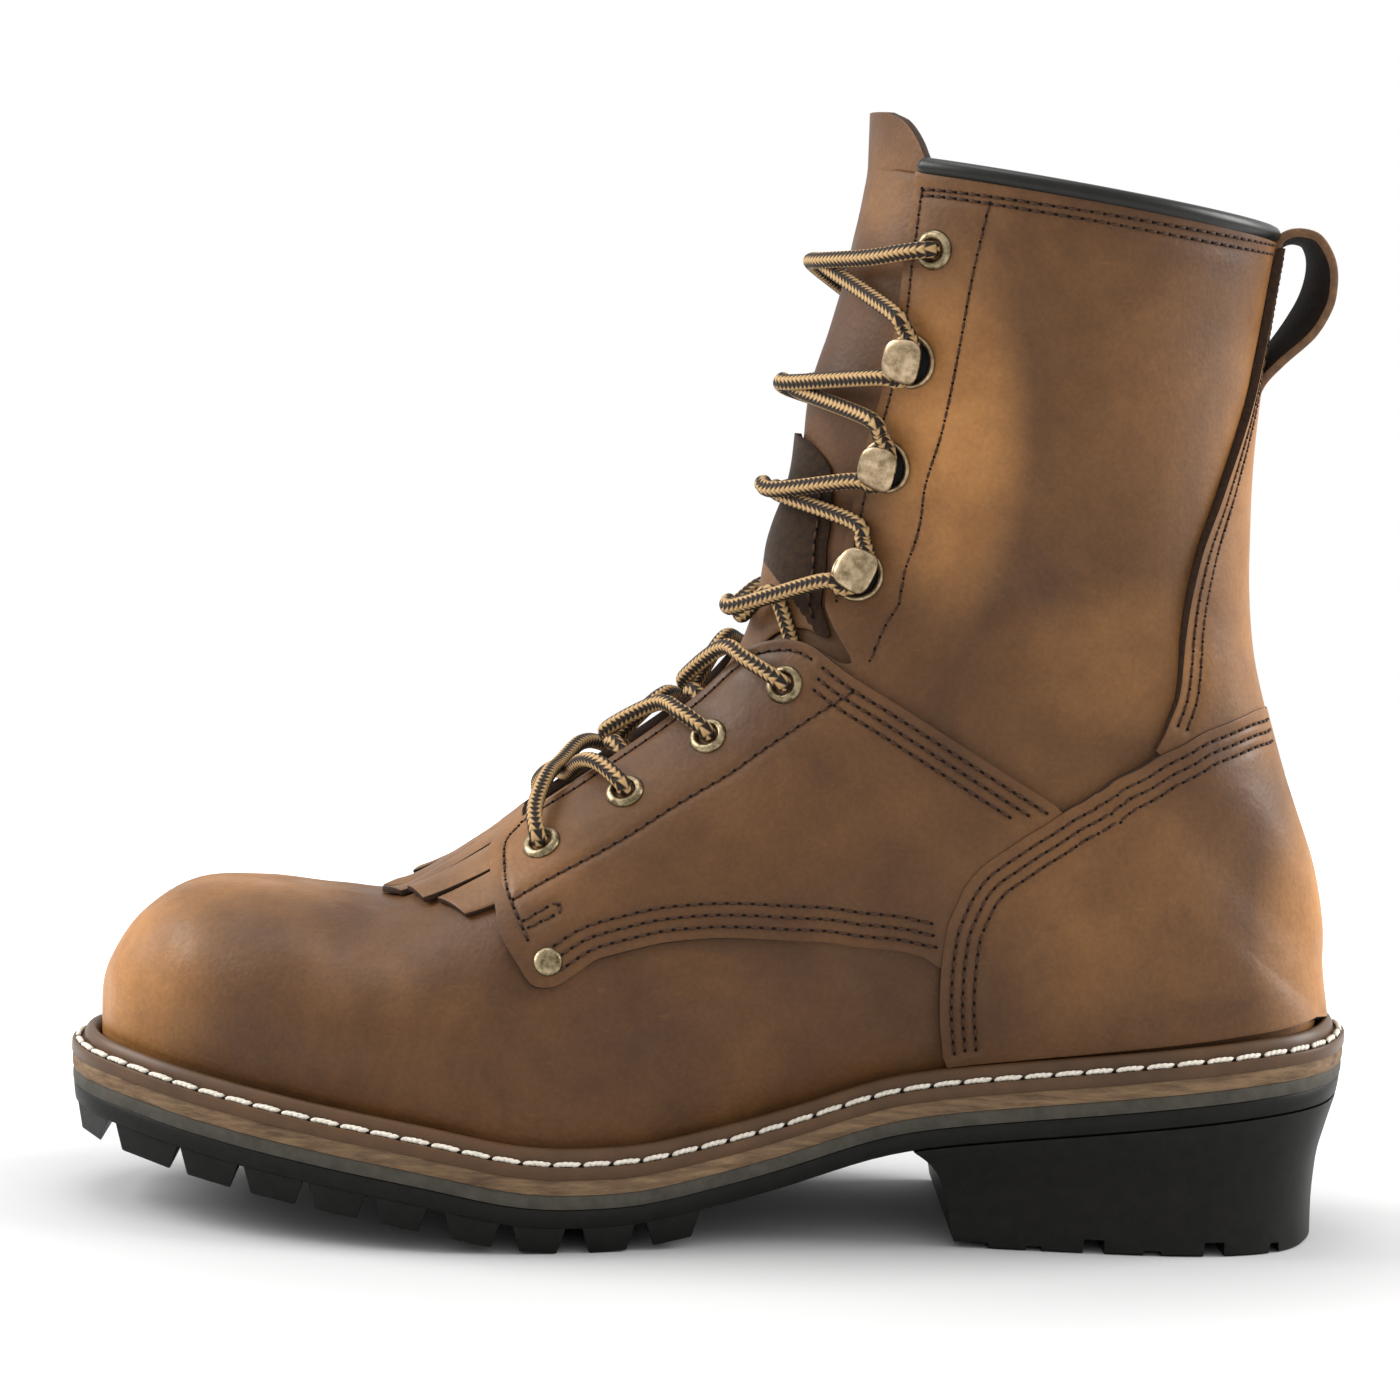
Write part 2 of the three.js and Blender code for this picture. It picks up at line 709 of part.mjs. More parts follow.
const MATERIAL = Object.fromEntries(
  [
    ["leather", 0x8a5f3c, 0.6, 0],
    ["suede", 0x4a3226, 0.9, 0],
    ["welt", 0x6b4a35, 0.45, 0],
    ["tan", 0xa98363, 0.7, 0],
    ["grey", 0x55544e, 0.75, 0],
    ["rubber", 0x23221f, 0.7, 0],
    ["brass", 0x9a8560, 0.35, 1],
    ["lace", 0xb29a78, 0.8, 0],
    ["binding", 0x33332f, 0.5, 0],
  ].map(([name, color, roughness, metalness]) => [
    name,
    new THREE.MeshStandardMaterial({ name, color, roughness, metalness }),
  ]),
);

function add(name, geometry, material) {
  geometry.computeVertexNormals();
  const mesh = new THREE.Mesh(geometry, MATERIAL[material]);
  mesh.name = name;
  parts.add(mesh);
}

// Sole plates, from the floor up.
const outsoleTop = (x) => seat(x) - LEATHER_MIDSOLE - MIDSOLE - GAP;
const outsoleBottom = (x) => seat(x) - LEATHER_MIDSOLE - MIDSOLE - OUTSOLE;
const SIDE_DRAFT = 0.7;
const LUG_DRAFT = 2.2;

// Section number at which the outline's inset curve reaches a station.
function sectionAt(x, side, inset) {
  let low = 0;
  let high = HEEL_ROW;
  for (let k = 0; k < 40; k++) {
    const middle = (low + high) / 2;
    if (outline(middle, side, inset)[0] < x) low = middle;
    else high = middle;
  }
  return (low + high) / 2;
}

function lugBlock(from, to, side) {
  const edges = [from, to].map((station) => (station - 0.5) * LENGTH);
  const flank = LUG_FLANK * LENGTH;
  const rings = [
    [0, LUG_DRAFT],
    [1, SIDE_DRAFT + 0.55],
  ].map(([level, inset]) => {
    const xs = [edges[0] - flank * level, edges[1] + flank * level];
    const height = (x) => outsoleBottom(x) + (level ? OUTSOLE / 2 : -LUG_HEIGHT);
    const outer = xs.map((x) => {
      const reach = outline(sectionAt(x, side, inset), side, inset)[1];
      return new THREE.Vector3(x, side * reach, height(x));
    });
    const middle = (CHANNEL / 2) * (level ? 0.6 : 1);
    const inner = xs.map((x) => new THREE.Vector3(x, side * middle, height(x)));
    return [...outer, ...inner.reverse()];
  });
  return solid(loft(rings));
}

{
  let sole = solid(plate(outsoleBottom, outsoleTop, SIDE_DRAFT + 0.6, SIDE_DRAFT));
  for (const { from, to } of LUGS) {
    for (const side of [-1, 1]) sole = sole.add(lugBlock(from, to, side));
  }
  add("outsole", geometryFrom(sole), "rubber");
}
add("midsole", plate((x) => seat(x) - LEATHER_MIDSOLE - MIDSOLE, (x) => seat(x) - LEATHER_MIDSOLE - GAP, 0.5, 0.4), "grey");
add("leather_midsole", plate((x) => seat(x) - LEATHER_MIDSOLE, (x) => seat(x) - GAP, 0.3, 0.1), "tan");

{
  const top = (x) => outsoleBottom(x) - HEEL_SEAM;
  const rings = HEEL.map(({ level, inset, breast }) => {
    const x0 = (breast - 0.5) * LENGTH;
    const half = (side) => {
      const start = sectionAt(x0, side, inset);
      return [0, 0.12, 0.28, 0.44, 0.6, 0.72, 0.82, 0.9, 0.96, 1].map((s) => {
        const [x, y] = outline(start + (HEEL_ROW - start) * s, side, inset);
        return new THREE.Vector3(x, side * y, level * top(x));
      });
    };
    const lateral = half(1);
    const medial = half(-1).slice(0, -1).reverse();
    return [...lateral, ...medial];
  });
  const n = rings[0].length;
  const points = rings.flat();
  const triangles = [];
  for (let k = 0; k + 1 < rings.length; k++) {
    for (let i = 0; i < n; i++) {
      const a = k * n + i;
      const b = k * n + ((i + 1) % n);
      triangles.push([a, b, b + n], [a, b + n, a + n]);
    }
  }
  for (const base of [0, (rings.length - 1) * n]) {
    for (let i = 0; i + 1 < n - 1 - i; i++) {
      const [a, b, c, d] = [i, i + 1, n - 2 - i, n - 1 - i].map((k) => k + base);
      for (const t of [
        [a, b, c],
        [a, c, d],
      ]) {
        if (new Set(t).size === 3) triangles.push(base ? t : [t[0], t[2], t[1]]);
      }
    }
  }
  let heel = solid(geometryOf(points, facingOut(points, triangles)));
  for (const { station, width, depth } of GROOVES) {
    const groove = new THREE.BoxGeometry(width, 2 * BALL, 2 * depth);
    groove.translate((station - 0.5) * LENGTH, 0, 0);
    heel = heel.subtract(solid(groove));
  }
  const front = new THREE.BoxGeometry(0.1 * LENGTH, 2 * BALL, 2 * HEEL_TOE_LIFT);
  front.translate((HEEL_TOE_END - 0.5 - 0.05) * LENGTH, 0, 0);
  add("heel", geometryFrom(heel.subtract(solid(front))), "rubber");
}

add(
  "welt",
  ring([
    [0, 0],
    [0, WELT],
    [0.39 * WELT_MARGIN, WELT],
    [0.44 * WELT_MARGIN, WELT + 0.6 * BEAD],
    [0.68 * WELT_MARGIN, WELT + 0.97 * BEAD],
    [WELT_MARGIN - WELT_SEAM, WELT + 0.82 * BEAD],
    [WELT_MARGIN - WELT_SEAM, 0],
  ]),
  "welt",
);
add("insole", plate(seat, (x) => seat(x) + INSOLE, WELT_MARGIN + WALL + 2 * GAP, WELT_MARGIN + WALL + 2 * GAP), "tan");

// Upper: vamp and shaft, open below, at the throat and at the collar.
const bottomSkirt = -(WELT + BEAD - 2 * GAP) / SKIRT_UNIT;
const shellStations = [
  0, 0.6, 1.2, 2, 3, 4, 5, 5.75, 6.1, 6.4, 6.93, 7.1, 7.5, 8.2, 9.2, 10.4, 11.6, 12.8, 14, 15, 15.5, 15.8, 16.3, 17.4, 18.4,
  19.2, 20, 21, 22, 23.1, 24.4, 25.9, 27.6, 29.3, 31.1, COLLAR,
];
const throat = (v) => (v < THROAT[0].at ? 1 : line(THROAT, v));
const footStations = shellStations.filter((v) => v <= HEEL_ROW);
const shell = sheet(
  [...bands(shellStations, () => 0, throat, 7), ...bands(footStations, () => bottomSkirt, () => 0, 1)],
  () => -WALL,
  () => 0,
);

const eyelets = LACING.filter((row) => row.kind !== "hook");
const bore = (side, { at, u }) =>
  solid(new THREE.CylinderGeometry(EYELET_BORE + EYELET_WALL + GAP, EYELET_BORE + EYELET_WALL + GAP, 12, 8)
    .rotateX(Math.PI / 2)
    .applyMatrix4(seatOn(side, at, u, 0)));

function pierced(geometry, side, rows) {
  let piece = solid(geometry);
  for (const row of rows) {
    for (const s of side ? [side] : [-1, 1]) piece = piece.subtract(bore(s, row));
  }
  return geometryFrom(piece);
}

add("upper", pierced(shell, 0, eyelets), "leather");

// Overlays on the upper's face.
const quarterStations = [
  7.13, 7.2, 7.32, 7.53, 7.8, 8.2, 9.2, 10.4, 11.6, 12.8, 13.58, 13.78, 14.11, 14.85, 15.43, 16.06, 16.8, 17.68,
];
for (const [name, side] of [
  ["quarter_medial", -1],
  ["quarter_lateral", 1],
]) {
  const piece = band(side, quarterStations, (v) => line(QUARTER_BOTTOM, v), (v) => line(QUARTER_TOP, v), 5);
  const geometry = sheet([piece], () => OVERLAY_SEAM, () => OUT);
  add(name, pierced(geometry, side, eyelets.filter((row) => row.kind === "eyelet")), "leather");
}

const COUNTER_LIFT = 0.014;
const counterStations = [
  12.98, 13.27, 13.78, 14.44, 15.35, 16.3, 17.4, 18.4, 19.2, 20, 21, 22, 23.1, 24.4, 25.25, 25.9, 25.97,
];
add(
  "counter",
  sheet(
    bands(counterStations, (v) => (v < HEEL_ROW ? COUNTER_LIFT : 0), (v) => line(COUNTER_TOP, v), 5),
    () => OVERLAY_SEAM,
    () => OUT,
  ),
  "leather",
);

const backstayStations = [23.25, 24.4, 25.25, 25.95, 26.1, 27.6, 29.3, 31.1, COLLAR];
const strip = solid(
  sheet(
    bands(backstayStations, (v) => line(BACKSTAY_REAR, v), (v) => line(BACKSTAY_FRONT, v), 3),
    () => OVERLAY_SEAM,
    () => OUT,
  ),
);
// The pull loop's run in side view: share of the way down, outwards by LOOP_OUT and up by LOOP_RISE.
const LOOP = table(
  "down out rise",
  [0, 0.02, 0],
  [0, 0.14, 0.75],
  [0, 0.46, 1],
  [0.05, 0.8, 0.55],
  [0.17, 0.99, 0],
  [0.38, 1, 0],
  [0.6, 0.86, 0],
  [0.78, 0.53, 0],
  [0.9, 0.2, 0],
  [1, 0, 0],
);
const LOOP_TOP = 32.8;
const LOOP_FOOT = 30.5;
{
  const top = onFace(1, LOOP_TOP, 0, OVERLAY_SEAM + OVERLAY / 2).setY(0);
  const foot = onFace(1, LOOP_FOOT, 0, OVERLAY_SEAM + 0.8 * OVERLAY).setY(0);
  const run = LOOP.map(({ down, out, rise }) => {
    const p = top.clone().lerp(foot, down);
    return p.add(new THREE.Vector3(out * LOOP_OUT, 0, rise * LOOP_RISE));
  });
  const across = new THREE.Vector3(0, 1, 0);
  const frames = framesAlong(run, run.map(() => across));
  const half = LOOP_STRAP / 2;
  const wide = LOOP_WIDTH / 2;
  const strap = bar(frames, [
    [-wide, -half],
    [wide, -half],
    [wide, half],
    [-wide, half],
  ]);
  const clear = solid(
    sheet(bands([29.5, 30.5, 31.5, COLLAR + 0.4], () => 0, () => 0.2, 3), () => -12, () => OVERLAY_SEAM),
  );
  add("backstay", geometryFrom(strip.add(solid(strap).subtract(clear))), "leather");
}

// Collar roll on the upper's top edge.
{
  const stops = [0, 0.12, 0.25, 0.38, 0.5, 0.62, 0.732];
  const path = [...stops.slice(1).reverse().map((u) => [-1, u]), ...stops.map((u) => [1, u])];
  const lift = new THREE.Vector3(0, 0, BINDING_RADIUS + GAP);
  const points = path.map(([side, u]) => onFace(side, COLLAR, u, GAP - WALL / 2).add(lift));
  const frames = framesAlong(points, points.map(() => new THREE.Vector3(0, 0, 1)));
  add("collar_binding", bar(frames, circle(BINDING_RADIUS, 6)), "binding");
}

// Tongue and kiltie.
const tongueStations = [
  8.6, 9.2, 10.4, 11.6, 12.8, 14, 15, 16.3, 17.4, 18.4, 20, 22, 24.4, 27.6, 31.1, COLLAR, 33.5, 33.9, 34.05,
];
add(
  "tongue",
  sheet(
    bands(tongueStations, (v) => line(TONGUE_EDGE, v), () => 1, 3),
    () => -WALL - TONGUE_SEAM - TONGUE,
    () => -WALL - TONGUE_SEAM,
  ),
  "leather",
);
const kiltieStations = [
  6.75, 6.93, 7.1, 7.5, 7.75, 8.2, 9.2, 10.4, 11.6, 12.8, 14, 15, 15.6, 16.3, 17.4, 18.4, 20, 21.4, 21.9, 22.15,
];
const kiltieFoot = (v) => KILTIE_SEAM - line(KILTIE_EDGE, v, "drop") * (WALL + KILTIE_SEAM);
const flap = solid(
  sheet(
    bands(kiltieStations, (v) => line(KILTIE_EDGE, v), () => 1, 2),
    kiltieFoot,
    (v) => kiltieFoot(v) + KILTIE,
  ),
);
const fringe = solid(
  sheet(
    bands([5.75, 6.1, 6.4, 6.93], (v) => line(FRINGE, v), () => 1, 3),
    () => KILTIE_SEAM,
    () => KILTIE_SEAM + KILTIE,
  ),
);
add("kiltie", geometryFrom(flap.add(fringe)), "suede");

// Eyelets, hooks and rivets.
const eyeletShape = (under) => {
  const outer = EYELET_BORE + EYELET_WALL;
  return turned(
    [
      [EYELET_BORE, -under],
      [outer, -under],
      [outer, 0],
      [EYELET_RADIUS, 0],
      [EYELET_BORE, EYELET_FLANGE],
      [EYELET_BORE, -under],
    ],
    8,
  );
};
const hookShape = () => {
  const plateBase = new THREE.CylinderGeometry(HOOK_RADIUS, HOOK_RADIUS, HOOK_PLATE, 8).rotateX(Math.PI / 2);
  plateBase.translate(0, 0, HOOK_PLATE / 2);
  const neck = new THREE.BoxGeometry(2, 4.6, HOOK_HEIGHT - HOOK_PLATE / 2);
  neck.applyMatrix4(new THREE.Matrix4().makeShear(0, 0, 0, 0, 0.45, 0));
  neck.translate(1.6, 0, HOOK_HEIGHT / 2);
  const cap = new THREE.CylinderGeometry(0.72 * HOOK_RADIUS, 0.9 * HOOK_RADIUS, 1.6, 8).rotateX(Math.PI / 2);
  cap.scale(0.86, 1, 1).translate(HOOK_REACH, 0, HOOK_HEIGHT);
  return geometryFrom(solid(plateBase).add(solid(neck)).add(solid(cap)));
};
let count = { eyelet: 0, hook: 0 };
for (const row of LACING) {
  const kind = row.kind === "hook" ? "hook" : "eyelet";
  count[kind] += 1;
  for (const [label, side] of [
    ["medial", -1],
    ["lateral", 1],
  ]) {
    const offset = (row.kind === "eyelet" ? OUT : 0) + 2 * GAP;
    const shape = kind === "hook" ? hookShape() : eyeletShape(offset + 0.8 * WALL);
    shape.applyMatrix4(seatOn(side, row.at, row.u, offset));
    add(`${kind}_${label}_${count[kind]}`, shape, "brass");
  }
}
for (const [label, side] of [
  ["medial", -1],
  ["lateral", 1],
]) {
  const rivet = new THREE.CylinderGeometry(0.8 * RIVET_RADIUS, RIVET_RADIUS, 1, 10).rotateX(Math.PI / 2);
  rivet.translate(0, 0, 0.5).applyMatrix4(seatOn(side, RIVET.at, RIVET.u, OUT + GAP));
  add(`rivet_${label}`, rivet, "brass");
}

// Lace: between two levels one strand crosses each way over the throat.
const LACE_FROM = 0.17;
for (let k = 0; k + 1 < LACING.length; k++) {
  const [lower, upper] = [LACING[k], LACING[k + 1]];
  const sideLift = (row) => (row.kind === "eyelet" ? OUT + 1.1 : 0.6) + LACE_RADIUS;
  const crestLift = LACE_RADIUS + 1.4;
  const strand = (side) => {
    const stops = [-1, -0.5, 0, 0.5, 1].map((s) => {
      const along = LACE_FROM + ((1 - 2 * LACE_FROM) * (s + 1)) / 2;
      const end = s < 0 ? lower : upper;
      const u = 1 - (1 - end.lace) * Math.abs(s);
      const v = lower.at + (upper.at - lower.at) * along;
      const lift = crestLift + (sideLift(end) - crestLift) * Math.abs(s) ** 1.5;
      const at = s === 0 ? 1 : s < 0 ? side : -side;
      return { p: onFace(at, v, u, lift), n: normal(at, v, u) };
    });
    const frames = framesAlong(stops.map((q) => q.p), stops.map((q) => q.n));
    return solid(bar(frames, circle(LACE_RADIUS, 5)));
  };
  add(`lace_crossing_${k + 1}`, geometryFrom(strand(-1).add(strand(1))), "lace");
}

export default parts;
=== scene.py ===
"""Looks of a right logger boot: oiled leather upper, fringed kiltie, round laces, welted lug sole.

Sizes are in millimetres unless a name says otherwise. The toe points along -X, the medial side is -Y.
"""

import math
import random

import bmesh
import bpy
import numpy as np
from bpy.props import FloatProperty, FloatVectorProperty, PointerProperty
from mathutils import Matrix, Vector, kdtree


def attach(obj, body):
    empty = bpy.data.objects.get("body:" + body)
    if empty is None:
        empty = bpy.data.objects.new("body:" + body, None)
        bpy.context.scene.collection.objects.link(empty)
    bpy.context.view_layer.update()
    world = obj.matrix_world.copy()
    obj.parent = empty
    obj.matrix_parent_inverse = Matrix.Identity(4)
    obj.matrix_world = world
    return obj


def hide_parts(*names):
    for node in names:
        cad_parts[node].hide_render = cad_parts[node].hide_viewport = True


bl_info = {
    "name": "Logger boot",
    "version": (1, 0, 0),
    "blender": (4, 5, 0),
    "location": "3D View > Sidebar > Boot",
    "description": "Builds the looks of a lace-up logger boot around its packed solids",
    "category": "Object",
}

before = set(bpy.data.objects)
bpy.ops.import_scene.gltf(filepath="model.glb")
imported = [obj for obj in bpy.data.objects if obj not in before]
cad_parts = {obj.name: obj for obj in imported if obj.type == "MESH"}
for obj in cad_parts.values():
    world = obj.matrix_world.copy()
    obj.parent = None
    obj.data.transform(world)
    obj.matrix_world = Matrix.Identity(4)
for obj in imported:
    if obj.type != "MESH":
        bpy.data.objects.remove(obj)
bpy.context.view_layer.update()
MM = 0.001
MEDIAL, LATERAL = -1, 1
SIDES = (MEDIAL, LATERAL)

# The boot's own sizes, as in its solids.
LENGTH = 311.0
BALL = 114.0
SHAFT_HEIGHT = 255.0
LUG_HEIGHT = 6.1
OUTSOLE = 4.7
MIDSOLE = 3.4
LEATHER_MIDSOLE = 3.7
WELT = 3.0
BEAD = 3.7
WELT_MARGIN = 7.2
TOE_SPRING = 16.8
HEEL_RISE = 30.5
WALL = 2.4
OVERLAY_TOP = 2.3
STACK = LUG_HEIGHT + OUTSOLE + MIDSOLE + LEATHER_MIDSOLE
HEEL_ROW = 20
COLLAR = 33.0
LOWER_SHARE = 0.4
SKIRT_UNIT = 20.0

# A row per section from toe to heel: station, welt half widths, crest x and z,
# upper half widths, belly, crown.
FOOT = np.array(
    [
        [0, 0, 0, -0.4778, 0.1941, 0, 0, 0.3, 2.4],
        [0.008, 0.1184, 0.1096, -0.4714, 0.2243, 0.1053, 0.0982, 0.3, 2.4],
        [0.032, 0.2281, 0.2061, -0.4495, 0.2667, 0.207, 0.1877, 0.3, 2.4],
        [0.08, 0.3377, 0.3026, -0.409, 0.2996, 0.3018, 0.2684, 0.3, 2.4],
        [0.14, 0.4167, 0.3772, -0.3553, 0.3043, 0.3772, 0.3386, 0.3, 2.4],
        [0.2, 0.4649, 0.4298, -0.2974, 0.2988, 0.4263, 0.3912, 0.29, 2.3],
        [0.26, 0.4939, 0.4675, -0.2412, 0.3027, 0.4544, 0.4298, 0.28, 2.2],
        [0.32, 0.5, 0.493, -0.1817, 0.3467, 0.4596, 0.4544, 0.27, 2.1],
        [0.38, 0.4781, 0.5018, -0.1302, 0.4, 0.4386, 0.4614, 0.26, 2],
        [0.44, 0.4342, 0.493, -0.0868, 0.4376, 0.4035, 0.4526, 0.26, 1.95],
        [0.5, 0.386, 0.4675, -0.0466, 0.4741, 0.3684, 0.4298, 0.27, 1.9],
        [0.56, 0.3465, 0.4368, -0.0129, 0.5098, 0.3421, 0.4035, 0.28, 1.9],
        [0.62, 0.3289, 0.4079, 0.0051, 0.5427, 0.3263, 0.3789, 0.3, 1.9],
        [0.68, 0.3272, 0.3842, 0.0141, 0.571, 0.3193, 0.3614, 0.32, 1.9],
        [0.74, 0.336, 0.3684, 0.0193, 0.5976, 0.3193, 0.3491, 0.34, 1.9],
        [0.8, 0.3439, 0.3596, 0.0219, 0.622, 0.3211, 0.3404, 0.36, 1.9],
        [0.86, 0.3421, 0.3509, 0.0238, 0.6439, 0.3211, 0.3333, 0.38, 1.9],
        [0.91, 0.3202, 0.3263, 0.0277, 0.6635, 0.3175, 0.3246, 0.4, 1.9],
        [0.955, 0.2632, 0.2658, 0.0322, 0.68, 0.3123, 0.3158, 0.42, 1.9],
        [0.985, 0.1623, 0.1623, 0.036, 0.6925, 0.3088, 0.3105, 0.43, 1.9],
        [1, 0, 0, 0.0386, 0.7051, 0.3061, 0.307, 0.44, 1.9],
    ]
)
# A row per section up the shaft: back x and z, crest x and z, half width, belly, crown.
SHAFT = np.array(
    [
        [0.4711, 0.2588, 0.0408, 0.7239, 0.3035, 0.45, 1.9],
        [0.4691, 0.3, 0.0421, 0.7459, 0.3035, 0.46, 1.9],
        [0.4598, 0.3529, 0.0431, 0.771, 0.307, 0.47, 1.9],
        [0.4437, 0.4059, 0.0457, 0.7976, 0.314, 0.48, 1.95],
        [0.4286, 0.4557, 0.0511, 0.822, 0.3246, 0.48, 2],
        [0.4148, 0.5059, 0.0569, 0.8447, 0.3377, 0.48, 2],
        [0.4032, 0.5588, 0.0617, 0.8667, 0.3509, 0.48, 2],
        [0.3968, 0.6176, 0.0662, 0.8886, 0.364, 0.48, 2],
        [0.3945, 0.6784, 0.0701, 0.9114, 0.3772, 0.48, 2],
        [0.3942, 0.7451, 0.0736, 0.9349, 0.3886, 0.48, 2],
        [0.3974, 0.8118, 0.0772, 0.9576, 0.3974, 0.48, 2],
        [0.4029, 0.8784, 0.0801, 0.9796, 0.4035, 0.48, 2],
        [0.4096, 0.9459, 0.0823, 1.001, 0.4079, 0.48, 2],
        [0.4161, 1.004, 0.0839, 1.049, 0.4114, 0.48, 2],
        [0.4212, 1.059, 0.0849, 1.098, 0.414, 0.48, 2],
    ]
)
# Toe spring and heel rise by station.
SPRING = np.array(
    [
        [0, 1], [0.038, 0.964], [0.077, 0.856], [0.114, 0.74], [0.15, 0.646], [0.185, 0.55], [0.22, 0.455],
        [0.254, 0.375], [0.283, 0.295], [0.309, 0.205], [0.337, 0.105], [0.358, 0], [1, 0],
    ]
)
RISE = np.array(
    [
        [0, 0], [0.442, 0], [0.465, 0.04], [0.49, 0.105], [0.537, 0.215], [0.582, 0.36], [0.634, 0.55],
        [0.68, 0.63], [0.7326, 0.703], [0.7791, 0.762], [0.8236, 0.8176], [0.8979, 0.912], [0.9674, 0.984],
        [1, 1],
    ]
)
# Panel edges on the upper: section, then u.
THROAT = np.array(
    [
        [6.6, 1], [6.9, 0.945], [7.2, 0.925], [7.58, 0.905], [8.2, 0.893], [8.87, 0.903], [9.78, 0.91],
        [10.84, 0.912], [12.34, 0.874], [13.88, 0.801], [14.93, 0.738], [15.43, 0.69], [15.75, 0.68],
        [16.05, 0.725], [16.4, 0.752], [17.54, 0.767], [18.9, 0.769], [21, 0.762], [22.61, 0.749],
        [24.06, 0.728], [25.53, 0.717], [28, 0.713], [30.45, 0.724], [33, 0.736],
    ]
)
QUARTER_TOP = np.array(
    [
        [7.13, 0.885], [7.3, 0.918], [7.58, 0.905], [8.2, 0.893], [8.87, 0.903], [9.78, 0.91],
        [10.84, 0.912], [12.34, 0.874], [13.88, 0.801], [14.93, 0.738], [15.43, 0.67], [16.06, 0.605],
        [16.61, 0.547], [17.13, 0.492], [17.68, 0.432],
    ]
)
QUARTER_BOTTOM = np.array(
    [
        [7.13, 0.865], [7.2, 0.763], [7.32, 0.639], [7.53, 0.574], [7.8, 0.522], [8.05, 0.515],
        [8.29, 0.523], [8.73, 0.54], [9.46, 0.534], [10.19, 0.515], [10.9, 0.486], [11.63, 0.447],
        [12.33, 0.408], [13.04, 0.349], [13.58, 0.302], [13.78, 0.343], [14.11, 0.388], [14.44, 0.415],
        [14.85, 0.428], [15.35, 0.434], [16.78, 0.432], [17.68, 0.424],
    ]
)
COUNTER_TOP = np.array(
    [
        [12.98, 0.05], [13.13, 0.145], [13.36, 0.235], [13.66, 0.312], [14.07, 0.376], [14.64, 0.413],
        [15.35, 0.4255], [16.15, 0.4275], [17.14, 0.4235], [18.46, 0.417], [19.5, 0.413], [19.75, 0.407],
        [20, 0.4], [20.25, 0.3955], [20.5, 0.391],
        [21.2, 0.371], [22.4, 0.3315], [23.4, 0.285], [24.5, 0.2245], [25.5, 0.144], [25.9, 0.078],
        [25.97, 0.03],
    ]
)
BACKSTAY_FRONT = np.array(
    [
        [23.25, 0.31], [24.4, 0.277], [26.28, 0.245], [27.87, 0.211], [29.26, 0.164], [30.27, 0.119],
        [31, 0.088], [32, 0.07], [33, 0.062],
    ]
)
BACKSTAY_REAR = np.array(
    [
        [23.25, 0.302], [23.96, 0.268], [25.25, 0.182], [25.95, 0.09], [26.1, 0], [33, 0],
    ]
)
TONGUE_EDGE = np.array(
    [
        [8.6, 0.8], [10, 0.78], [12, 0.75], [14, 0.66], [16, 0.6], [20, 0.62], [24, 0.6], [28, 0.58],
        [31, 0.6], [32.7, 0.64], [33, 0.7], [33.23, 0.73], [33.6, 0.76], [33.92, 0.807], [34.05, 0.87],
    ]
)
KILTIE_EDGE = np.array(
    [
        [6.75, 0.95], [7.1, 0.962], [7.35, 0.948], [7.75, 0.93], [8.4, 0.918], [9.5, 0.93], [10.84, 0.936],
        [12.34, 0.902], [13.6, 0.85], [14.9, 0.78], [15.6, 0.735], [16.24, 0.772], [17.3, 0.786],
        [18.74, 0.809], [20.5, 0.82], [21.14, 0.825], [21.87, 0.832], [22.08, 0.856], [22.15, 0.9],
    ]
)
LUGS = np.array(
    [
        [0.014, 0.033],
        [0.052, 0.092],
        [0.106, 0.14],
        [0.156, 0.19],
        [0.206, 0.237],
        [0.256, 0.284],
        [0.308, 0.338],
        [0.359, 0.387],
        [0.411, 0.439],
        [0.459, 0.488],
    ]
)
HEEL = np.array(
    [
        [1, 1.2, 0.655],
        [0.8, 3.2, 0.671],
        [0.55, 5.2, 0.681],
        [0.25, 5.8, 0.687],
        [0, 5.6, 0.691],
    ]
)
GROOVES = np.array(
    [
        [0.7515, 4.4, 1.3],
        [0.7973, 5.6, 3.5],
        [0.8422, 5, 1.3],
        [0.8906, 5.6, 3.5],
        [0.94, 3, 2.6],
    ]
)


def monotone(rows, x, column=1):
    """Smooth curve through a table's rows that never swings past them."""
    xs, ys = rows[:, 0], rows[:, column]
    slope = np.diff(ys) / np.diff(xs)
    before = np.concatenate([slope[:1], slope])
    after = np.concatenate([slope, slope[-1:]])
    turning = before * after <= 0
    tangent = np.where(turning, 0, 2 * before * after / np.where(turning, 1, before + after))
    x = np.asarray(x, float)
    i = np.clip(np.searchsorted(xs, x) - 1, 0, len(xs) - 2)
    h = xs[i + 1] - xs[i]
    raw = (x - xs[i]) / h
    t = np.clip(raw, 0, 1)
    value = (1 + 2 * t) * (1 - t) ** 2 * ys[i] + t * (1 - t) ** 2 * h * tangent[i]
    value += t * t * (3 - 2 * t) * ys[i + 1] + t * t * (t - 1) * h * tangent[i + 1]
    value += np.where(raw < 0, tangent[i] * (x - xs[0]), 0)
    return value + np.where(raw > 1, tangent[i + 1] * (x - xs[-1]), 0)


def spline(a, b, c, d, t):
    linear = (c - a) * t
    square = (2 * a - 5 * b + 4 * c - d) * t * t
    cube = (3 * b - a - 3 * c + d) * t**3
    return 0.5 * (2 * b + linear + square + cube)


def seat(x):
    """Top of the leather midsole along the boot, its bends rounded over some 12 mm each way."""
    height = STACK
    for step, share in ((-12, 1), (-6, 2), (0, 3), (6, 2), (12, 1)):
        station = (np.asarray(x) + step) / LENGTH + 0.5
        spring = TOE_SPRING * monotone(SPRING, station)
        height = height + (spring + HEEL_RISE * monotone(RISE, station)) * share / 9
    return height


